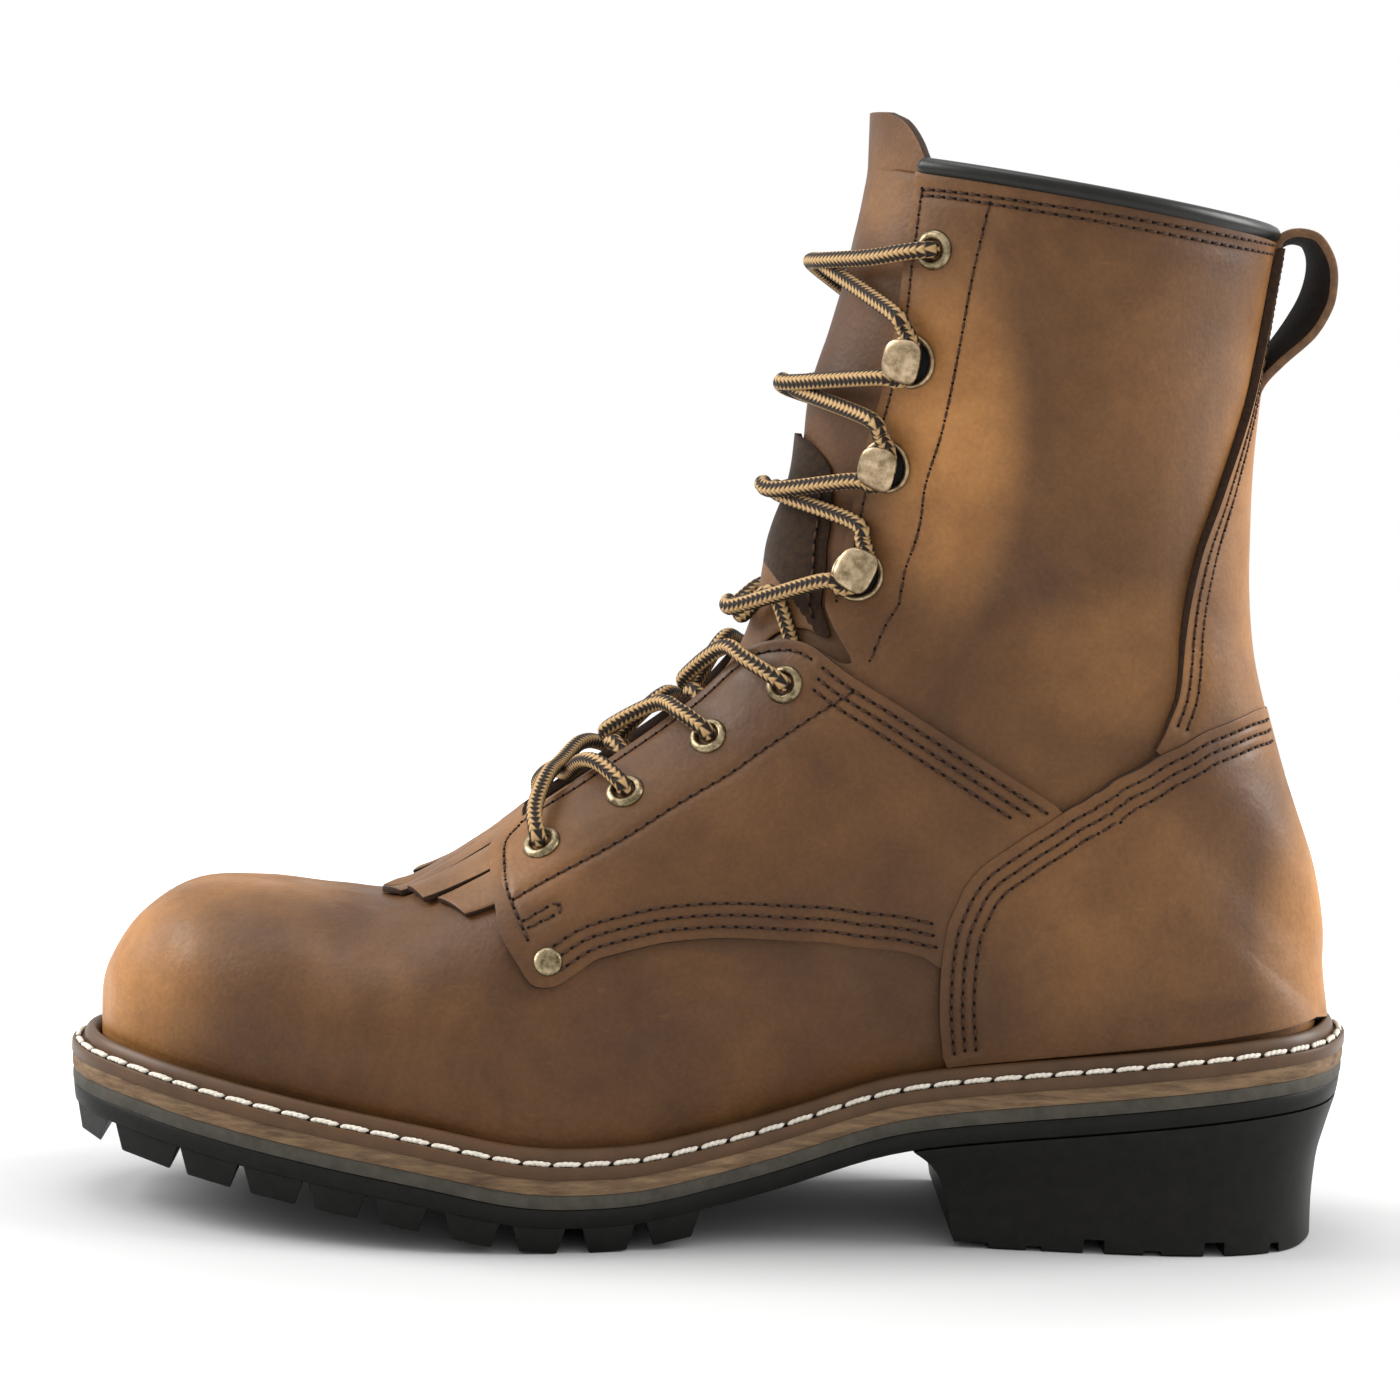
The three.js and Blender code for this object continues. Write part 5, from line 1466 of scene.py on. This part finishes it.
def build_heel():
    bm = bmesh.new()
    levels = HEEL[:, 0][::-1]
    height = np.concatenate([[0.0, 0.02], np.linspace(0.05, 0.97, 14), [1.0]])
    inset = monotone(np.stack([levels, HEEL[:, 1][::-1]], 1), height)
    breast = monotone(np.stack([levels, HEEL[:, 2][::-1]], 1), height)
    inset = inset + np.where(height < 0.01, 0.7, 0) + np.where(height > 0.99, 0.15, 0)
    share = (1 - np.cos(np.linspace(0, math.pi, 60))) / 2
    rings = []
    for h, i, b in zip(height, inset, breast):
        x0 = (b - 0.5) * LENGTH
        halves = []
        for side in SIDES:
            start = section_at(x0, side, i)
            plan = outline(start + (HEEL_ROW - start) * share, side, i)
            rise = h * (seat(plan[:, 0]) + SOLE_TOP - OUTSOLE - 0.3)
            halves.append(np.stack([plan[:, 0], side * plan[:, 1], rise], 1))
        front = np.linspace(halves[1][0], halves[0][0], 22)[1:-1]
        rings.append(np.concatenate([halves[0], halves[1][::-1][1:], front]))
    rings = np.array(rings)
    count = rings.shape[1]

    def wall(s, t):
        i = np.rint(s * count).astype(int) % count
        j = np.rint(t * (len(height) - 1)).astype(int)
        return rings[j, i]

    add_patch(bm, count, len(height) - 1, wall)
    bmesh.ops.remove_doubles(bm, verts=bm.verts, dist=0.005 * MM)
    close_ends(bm)
    bmesh.ops.recalc_face_normals(bm, faces=bm.faces)
    obj = piece("heel_block", bm, ["rubber"], ["heel"], 40)
    cutters = bmesh.new()
    for station, width, depth in GROOVES:
        x = (station - 0.5) * LENGTH
        foot = width / 2
        top = foot - 0.35
        block(cutters, box_corners(x - foot, x + foot, -4), box_corners(x - top, x + top, depth), 0.3)
    x = (HEEL_HOLLOW_END - 0.5) * LENGTH
    block(cutters, box_corners(x - 40, x, -4), box_corners(x - 40, x, 1.5), 0.2)
    mesh = bpy.data.meshes.new("heel_cutters")
    cutters.to_mesh(mesh)
    cutters.free()
    tool = bpy.data.objects.new("heel_cutters", mesh)
    bpy.context.scene.collection.objects.link(tool)
    cut = obj.modifiers.new("Grooves", "BOOLEAN")
    cut.operation = "DIFFERENCE"
    cut.solver = "EXACT"
    cut.object = tool
    bpy.context.view_layer.update()
    done = bpy.data.meshes.new_from_object(obj.evaluated_get(bpy.context.evaluated_depsgraph_get()))
    obj.modifiers.clear()
    obj.data = done
    bpy.data.objects.remove(tool)
    edge = obj.modifiers.new("Edge", "BEVEL")
    edge.width = 0.3 * MM
    edge.segments = 2
    edge.limit_method = "ANGLE"
    edge.angle_limit = math.radians(45)


# Metal

EYELETS = [(7.9, 0.776), (9.25, 0.79), (10.82, 0.792), (13.34, 0.74)]
TOP_EYELET = (30.8, 0.664)
HOOKS = [(18.78, 0.733), (23.78, 0.69), (27.45, 0.668)]
RIVET = (7.98, 0.555)


def build_eyelets():
    ring = [(2.35, -0.9), (2.4, 0.35), (2.65, 0.8), (3.1, 1.05)]
    ring += [(3.7, 1.0), (4.3, 0.65), (4.72, 0.1), (4.72, -0.3)]
    # A near-black disc inside the eyelet's bore: painted shade where the hole is dark.
    cup = [(0.001, -0.3), (2.5, -0.3), (2.5, -0.8), (0.001, -0.8)]
    for side, label in ((MEDIAL, "medial"), (LATERAL, "lateral")):
        for k, (v, u) in enumerate(EYELETS + [TOP_EYELET]):
            bm = bmesh.new()
            matrix = seat_matrix(side, v, u, OVERLAY_TOP if k < 4 else 0.05)
            lathe(bm, ring, 40, matrix)
            lathe(bm, cup, 40, matrix, 1)
            bmesh.ops.remove_doubles(bm, verts=bm.verts, dist=0.004 * MM)
            bmesh.ops.recalc_face_normals(bm, faces=bm.faces)
            where = f"{label}_{k + 1}"
            piece("eyelet_ring_" + where, bm, ["brass", "dark_cup"], ["eyelet_" + where])


HOOK_CAP = (-0.6, 0.3, 6.0)
HOOK_HALF = (4.75, 5.1, 1.25)


def build_hooks():
    turns = np.linspace(0, 2 * math.pi, 12, endpoint=False)
    ring = [(5.75 + 0.7 * math.cos(a), 0.45 + 0.7 * math.sin(a)) for a in turns]
    # A near-black disc inside the hook's ring: painted shade beneath the hook.
    cup = [(0.001, 0.25), (5.8, 0.3), (5.8, -0.2), (0.001, -0.2)]
    for side, label in ((MEDIAL, "medial"), (LATERAL, "lateral")):
        for k, (v, u) in enumerate(HOOKS):
            bm = bmesh.new()
            matrix = seat_matrix(side, v, u, 0.2)
            lathe(bm, ring, 44, matrix)
            lathe(bm, cup, 44, matrix, 1)
            cap = bmesh.ops.create_uvsphere(bm, u_segments=40, v_segments=20, radius=1.0)["verts"]
            for vert in cap:
                x, y, z = vert.co
                reach = math.hypot(x, y)
                square = 1.0
                if reach > 1e-6:
                    a, b = abs(x) / reach, abs(y) / reach
                    square = 1 / (a**3.2 + b**3.2) ** (1 / 3.2)
                x, y = x * square, y * square
                taper = 1 - 0.1 * x + 0.06 * y
                z = math.copysign(abs(z) ** 0.8, z) if z > 0 else z * 0.75
                place = Vector((x * HOOK_HALF[0], y * HOOK_HALF[1] * taper, z * HOOK_HALF[2] + 0.3 * x))
                vert.co = (place + Vector(HOOK_CAP)) * MM
            neck = bmesh.ops.create_cube(bm, size=1)["verts"]
            for vert in neck:
                x, y, z = vert.co
                rise = z + 0.5
                height = 0.1 + rise * (HOOK_CAP[2] - 0.2)
                vert.co = Vector((x * 1.8 + 2.6 - 1.2 * rise, y * (4.8 + 1.0 * rise), height)) * MM
            edges = list({e for vert in neck for e in vert.link_edges})
            made = bmesh.ops.bevel(
                bm, geom=edges, offset=0.5 * MM, segments=3, profile=0.5, affect="EDGES", material=-1
            )
            neck = [vert for vert in [*neck, *made["verts"]] if vert.is_valid]
            placed = matrix.copy()
            placed.translation = matrix.translation * MM
            bmesh.ops.transform(bm, matrix=placed, verts=list(set(cap) | set(neck)))
            bmesh.ops.remove_doubles(bm, verts=bm.verts, dist=0.004 * MM)
            bmesh.ops.recalc_face_normals(bm, faces=bm.faces)
            where = f"{label}_{k + 1}"
            piece("speed_hook_" + where, bm, ["hook_metal", "dark_cup"], ["hook_" + where])


def build_rivets():
    dome = [(0.001, 1.15), (1.6, 1.1), (2.5, 0.95), (3.1, 0.6), (3.4, 0.15), (3.4, -0.15), (0.001, -0.15)]
    for side, label in ((MEDIAL, "medial"), (LATERAL, "lateral")):
        bm = bmesh.new()
        lathe(bm, dome, 32, seat_matrix(side, *RIVET, OVERLAY_TOP))
        bmesh.ops.remove_doubles(bm, verts=bm.verts, dist=0.004 * MM)
        bmesh.ops.recalc_face_normals(bm, faces=bm.faces)
        piece(f"rivet_head_{label}", bm, ["brass"], [f"rivet_{label}"])


# Lace

LACE_RADIUS = 1.95
CROSSINGS = [(13.42, 3.8), (19.3, 2.9), (23.94, 1.9), (28.86, 3.4)]
# Round a hook's neck under its cap, from the strand above to the strand below.
AROUND_HOOK = [
    (5.6, 10.6, 3.7), (1.8, 7.6, 3.4), (-1.0, 4.6, 3.2), (-2.1, 0.6, 3.2), (-1.2, -3.0, 3.2),
    (1.2, -4.7, 3.2), (6.0, -5.2, 3.5),
]


def lace_point(side, v, u, lift):
    return on_face(side, v, u, lift), normals(side, v, u)


def upper_runs():
    """From the top eyelet down the hooks of alternate sides, to the inside of the fourth eyelet."""
    runs = []
    for side in SIDES:
        over = 1 if side == MEDIAL else -1
        path = [lace_point(side, *TOP_EYELET, -0.6), lace_point(side, *TOP_EYELET, 2.6)]
        path.append(lace_point(side, 30.5, 0.702, 3.3))
        path.append(lace_point(side, 29.83, 0.784, 2.7))
        now = side
        for k in range(3, -1, -1):
            v, lift = CROSSINGS[k]
            path.append(lace_point(now, v + 0.12, 0.93, lift + over * 1.1))
            path.append(lace_point(now, v, 1.0, lift + over * 1.6))
            path.append(lace_point(-now, v - 0.12, 0.93, lift + over * 1.1))
            over = -over
            now = -now
            if k:
                hv, hu = HOOKS[k - 1]
                matrix = seat_matrix(now, hv, hu, 0.25)
                for x, y, z in AROUND_HOOK:
                    p = np.array(matrix @ Vector((x, y, z)))
                    path.append((p, np.array(matrix.col[2].xyz)))
        path.append(lace_point(now, 14.9, 0.86, 1.2))
        path.append(lace_point(now, 14.2, 0.80, -2.6))
        path.append(lace_point(now, 13.8, 0.76, -4.0))
        runs.append(path)
    return runs


LOWER_CROSSINGS = [(8.28, 2.9), (9.16, 3.6), (10.7, 2.8)]


def lower_runs():
    """The crossings between the eyelets; the lowest one joins both outer sides."""
    runs = []
    for side in SIDES:
        over = 1.9 if side == MEDIAL else -1.2
        v, lift = LOWER_CROSSINGS[0]
        runs.append(
            [
                lace_point(side, *EYELETS[0], OVERLAY_TOP - 0.6),
                lace_point(side, EYELETS[0][0], EYELETS[0][1] + 0.004, OVERLAY_TOP + 2.6),
                lace_point(side, 7.93, 0.83, OVERLAY_TOP + 4.3),
                lace_point(side, 8.12, 0.91, OVERLAY_TOP + 3.2 + over / 2),
                lace_point(side, v, 1.0, lift + over),
                lace_point(-side, 8.66, 0.91, OVERLAY_TOP + 3.4 + over / 2),
                lace_point(-side, 8.98, 0.85, OVERLAY_TOP + 4.3),
                lace_point(-side, EYELETS[1][0], EYELETS[1][1] + 0.004, OVERLAY_TOP + 2.6),
                lace_point(-side, *EYELETS[1], OVERLAY_TOP - 0.6),
            ]
        )
        for k in (2, 3):
            at, u = EYELETS[k]
            below, below_u = EYELETS[k - 1]
            v, lift = LOWER_CROSSINGS[k - 1]
            edge_v = at - 0.42 * (at - v)
            edge = float(throat_edge(np.array(edge_v)))
            over = 1.9 if side == MEDIAL else -1.2
            runs.append(
                [
                    lace_point(side, at, u, OVERLAY_TOP - 0.6),
                    lace_point(side, at, u + 0.004, OVERLAY_TOP + 2.6),
                    lace_point(side, at - 0.2 * (at - v), (u + edge) / 2, OVERLAY_TOP + 4.2),
                    lace_point(side, edge_v, edge + 0.01, OVERLAY_TOP + 3.4 + over / 3),
                    lace_point(side, v, 1.0, lift + over),
                    lace_point(-side, v - 0.18 * (v - below), 0.955, lift - 1.2),
                    lace_point(-side, below + 0.12 * (v - below), 0.915, -1.6),
                    lace_point(-side, below, 0.875, -4.2),
                ]
            )
    return runs


def build_laces():
    bm = bmesh.new()
    for path in upper_runs() + lower_runs():
        points = smooth_path([p for p, n in path], 14)
        up = smooth_path([n for p, n in path], 14)
        tube(bm, points, LACE_RADIUS, 16, up)
    bmesh.ops.remove_doubles(bm, verts=bm.verts, dist=0.003 * MM)
    close_ends(bm)
    bmesh.ops.recalc_face_normals(bm, faces=bm.faces)
    nodes = [f"lace_crossing_{k + 1}" for k in range(7)]
    piece("round_lace", bm, ["lace"], nodes)


def dress_insole():
    node_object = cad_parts["insole"]
    node_object.data.materials.clear()
    node_object.data.materials.append(MATERIALS["lining"])


# Stage

CAMERA_TARGET = (-6.0, 0.0, 125.4)
CAMERA_DISTANCE = 900.0
CAMERA_BACK = (-0.026033, -0.994181, 0.104528)
CAMERA_ROLL = 2.45
CAMERA_LENS = 95.24


def build_stage():
    scene = bpy.context.scene
    bm = bmesh.new()
    bmesh.ops.create_grid(bm, x_segments=4, y_segments=4, size=0.95)
    mesh = bpy.data.meshes.new("floor")
    bm.to_mesh(mesh)
    bm.free()
    mesh.materials.append(studio_floor_painted_shadow())
    floor = bpy.data.objects.new("floor", mesh)
    scene.collection.objects.link(floor)

    world = bpy.data.worlds.new("studio")
    world.use_nodes = True
    world.node_tree.nodes["Background"].inputs["Color"].default_value = (1, 1, 1, 1)
    world.node_tree.nodes["Background"].inputs["Strength"].default_value = 1.0
    scene.world = world
    scene.view_settings.view_transform = "Standard"

    for name, place, size, power in (
        ("toe_softbox", (-1.3, 0.1, 0.95), 0.9, 25),
        ("heel_softbox", (1.45, 0.1, 0.8), 0.9, 30),
        ("top_softbox", (-0.3, 0.2, 1.9), 1.0, 12),
    ):
        light = bpy.data.lights.new(name, "AREA")
        light.shape = "SQUARE"
        light.size = size
        light.energy = power
        lamp = bpy.data.objects.new(name, light)
        aim = Vector((0, 0, 0.12)) - Vector(place)
        lamp.matrix_world = Matrix.Translation(place) @ aim.to_track_quat("-Z", "Y").to_matrix().to_4x4()
        scene.collection.objects.link(lamp)

    back = Vector(CAMERA_BACK).normalized()
    right = Vector((0, 0, 1)).cross(back).normalized()
    up = back.cross(right)
    roll = math.radians(CAMERA_ROLL)
    turned = right * math.cos(roll) + up * math.sin(roll)
    raised = up * math.cos(roll) - right * math.sin(roll)
    camera = bpy.data.cameras.new("camera")
    camera.sensor_width = 36
    camera.lens = CAMERA_LENS
    camera.clip_end = 50
    view = bpy.data.objects.new("camera", camera)
    matrix = Matrix((turned, raised, back)).transposed().to_4x4()
    matrix.translation = (Vector(CAMERA_TARGET) + back * CAMERA_DISTANCE) * MM
    view.matrix_world = matrix
    scene.collection.objects.link(view)
    scene.camera = view


class BootSettings(bpy.types.PropertyGroup):
    """Sizes and colours that a user would change."""

    stitch_pitch: FloatProperty(
        name="Stitch pitch",
        description="Distance between stitches on the upper",
        default=3.0 * MM,
        unit="LENGTH",
    )
    welt_pitch: FloatProperty(
        name="Welt pitch",
        description="Distance between stitches on the welt",
        default=7.2 * MM,
        unit="LENGTH",
    )
    leather_dark: FloatVectorProperty(
        name="Leather, dark",
        description="Darkest tone of the oiled leather",
        default=linear("#442a14"),
        size=4,
        subtype="COLOR",
    )
    leather_middle: FloatVectorProperty(
        name="Leather, middle",
        description="Common tone of the oiled leather",
        default=linear("#52351a"),
        size=4,
        subtype="COLOR",
    )
    leather_light: FloatVectorProperty(
        name="Leather, light",
        description="Lightest cloud in the oiled leather",
        default=linear("#624022"),
        size=4,
        subtype="COLOR",
    )
    # The pulled-up tone also paints the highlight spots on toe, heel and facing.
    leather_pale: FloatVectorProperty(
        name="Leather, pulled up",
        description="Tone where the wax moved off",
        default=linear("#a5723e"),
        size=4,
        subtype="COLOR",
    )
    lace_light: FloatVectorProperty(
        name="Lace picks",
        description="Light picks of the braided lace",
        default=linear("#b08e60"),
        size=4,
        subtype="COLOR",
    )
    thread: FloatVectorProperty(
        name="Thread",
        description="Thread of the seams on the upper",
        default=linear("#3c2618"),
        size=4,
        subtype="COLOR",
    )


class BOOT_OT_materials(bpy.types.Operator):
    """Makes every finish of the boot."""

    bl_idname = "boot.materials"
    bl_label = "Materials"

    def execute(self, context):
        make_materials()
        return {"FINISHED"}


class BOOT_OT_stage(bpy.types.Operator):
    """Sets up the floor, studio light and camera."""

    bl_idname = "boot.stage"
    bl_label = "Stage"

    def execute(self, context):
        build_stage()
        return {"FINISHED"}


class BOOT_OT_upper(bpy.types.Operator):
    """Builds vamp and shaft as one hollow shell."""

    bl_idname = "boot.upper"
    bl_label = "Upper"

    def execute(self, context):
        build_upper()
        return {"FINISHED"}


class BOOT_OT_overlays(bpy.types.Operator):
    """Builds the quarters, heel counter and back strip."""

    bl_idname = "boot.overlays"
    bl_label = "Overlays"

    def execute(self, context):
        build_quarters()
        build_counter()
        build_backstay()
        return {"FINISHED"}


class BOOT_OT_loop(bpy.types.Operator):
    """Builds the pull loop at the back."""

    bl_idname = "boot.loop"
    bl_label = "Pull loop"

    def execute(self, context):
        build_loop()
        return {"FINISHED"}


class BOOT_OT_collar(bpy.types.Operator):
    """Builds the rolled edge round the collar."""

    bl_idname = "boot.collar"
    bl_label = "Collar roll"

    def execute(self, context):
        build_binding()
        return {"FINISHED"}


class BOOT_OT_tongue(bpy.types.Operator):
    """Builds the tongue and the fringed kiltie."""

    bl_idname = "boot.tongue"
    bl_label = "Tongue"

    def execute(self, context):
        build_tongue()
        build_kiltie()
        build_fringe()
        return {"FINISHED"}


class BOOT_OT_thread(bpy.types.Operator):
    """Sews the rows of stitches on the upper."""

    bl_idname = "boot.thread"
    bl_label = "Seam thread"

    def execute(self, context):
        build_stitches()
        return {"FINISHED"}


class BOOT_OT_welt(bpy.types.Operator):
    """Builds the welt with its bead and stitches."""

    bl_idname = "boot.welt"
    bl_label = "Welt"

    def execute(self, context):
        build_welt()
        build_welt_stitches()
        return {"FINISHED"}


class BOOT_OT_sole(bpy.types.Operator):
    """Builds the midsoles, lugged outsole, heel and insole."""

    bl_idname = "boot.sole"
    bl_label = "Sole"

    def execute(self, context):
        build_midsoles()
        build_outsole()
        build_heel()
        dress_insole()
        return {"FINISHED"}


class BOOT_OT_metal(bpy.types.Operator):
    """Builds the eyelets, speed hooks and rivets."""

    bl_idname = "boot.metal"
    bl_label = "Metal"

    def execute(self, context):
        build_eyelets()
        build_hooks()
        build_rivets()
        return {"FINISHED"}


class BOOT_OT_laces(bpy.types.Operator):
    """Runs the round lace through eyelets and hooks."""

    bl_idname = "boot.laces"
    bl_label = "Laces"

    def execute(self, context):
        build_laces()
        return {"FINISHED"}


OPERATORS = (
    BOOT_OT_materials,
    BOOT_OT_stage,
    BOOT_OT_upper,
    BOOT_OT_overlays,
    BOOT_OT_loop,
    BOOT_OT_collar,
    BOOT_OT_tongue,
    BOOT_OT_thread,
    BOOT_OT_welt,
    BOOT_OT_sole,
    BOOT_OT_metal,
    BOOT_OT_laces,
)


class BOOT_PT_panel(bpy.types.Panel):
    """Lists the boot's pieces."""

    bl_label = "Logger boot"
    bl_space_type = "VIEW_3D"
    bl_region_type = "UI"
    bl_category = "Boot"

    def draw(self, context):
        for key in BootSettings.__annotations__:
            self.layout.prop(context.scene.boot_settings, key)
        for made in OPERATORS:
            self.layout.operator(made.bl_idname)


def register():
    bpy.utils.register_class(BootSettings)
    bpy.types.Scene.boot_settings = PointerProperty(type=BootSettings)
    for made in OPERATORS:
        bpy.utils.register_class(made)
    bpy.utils.register_class(BOOT_PT_panel)


def unregister():
    bpy.utils.unregister_class(BOOT_PT_panel)
    for made in reversed(OPERATORS):
        bpy.utils.unregister_class(made)
    del bpy.types.Scene.boot_settings
    bpy.utils.unregister_class(BootSettings)


def main():
    register()
    bpy.ops.boot.materials()
    bpy.ops.boot.stage()
    bpy.ops.boot.upper()
    bpy.ops.boot.overlays()
    bpy.ops.boot.loop()
    bpy.ops.boot.collar()
    bpy.ops.boot.tongue()
    bpy.ops.boot.thread()
    bpy.ops.boot.welt()
    bpy.ops.boot.sole()
    bpy.ops.boot.metal()
    bpy.ops.boot.laces()
    bpy.context.view_layer.update()


if __name__ == "__main__":
    main()
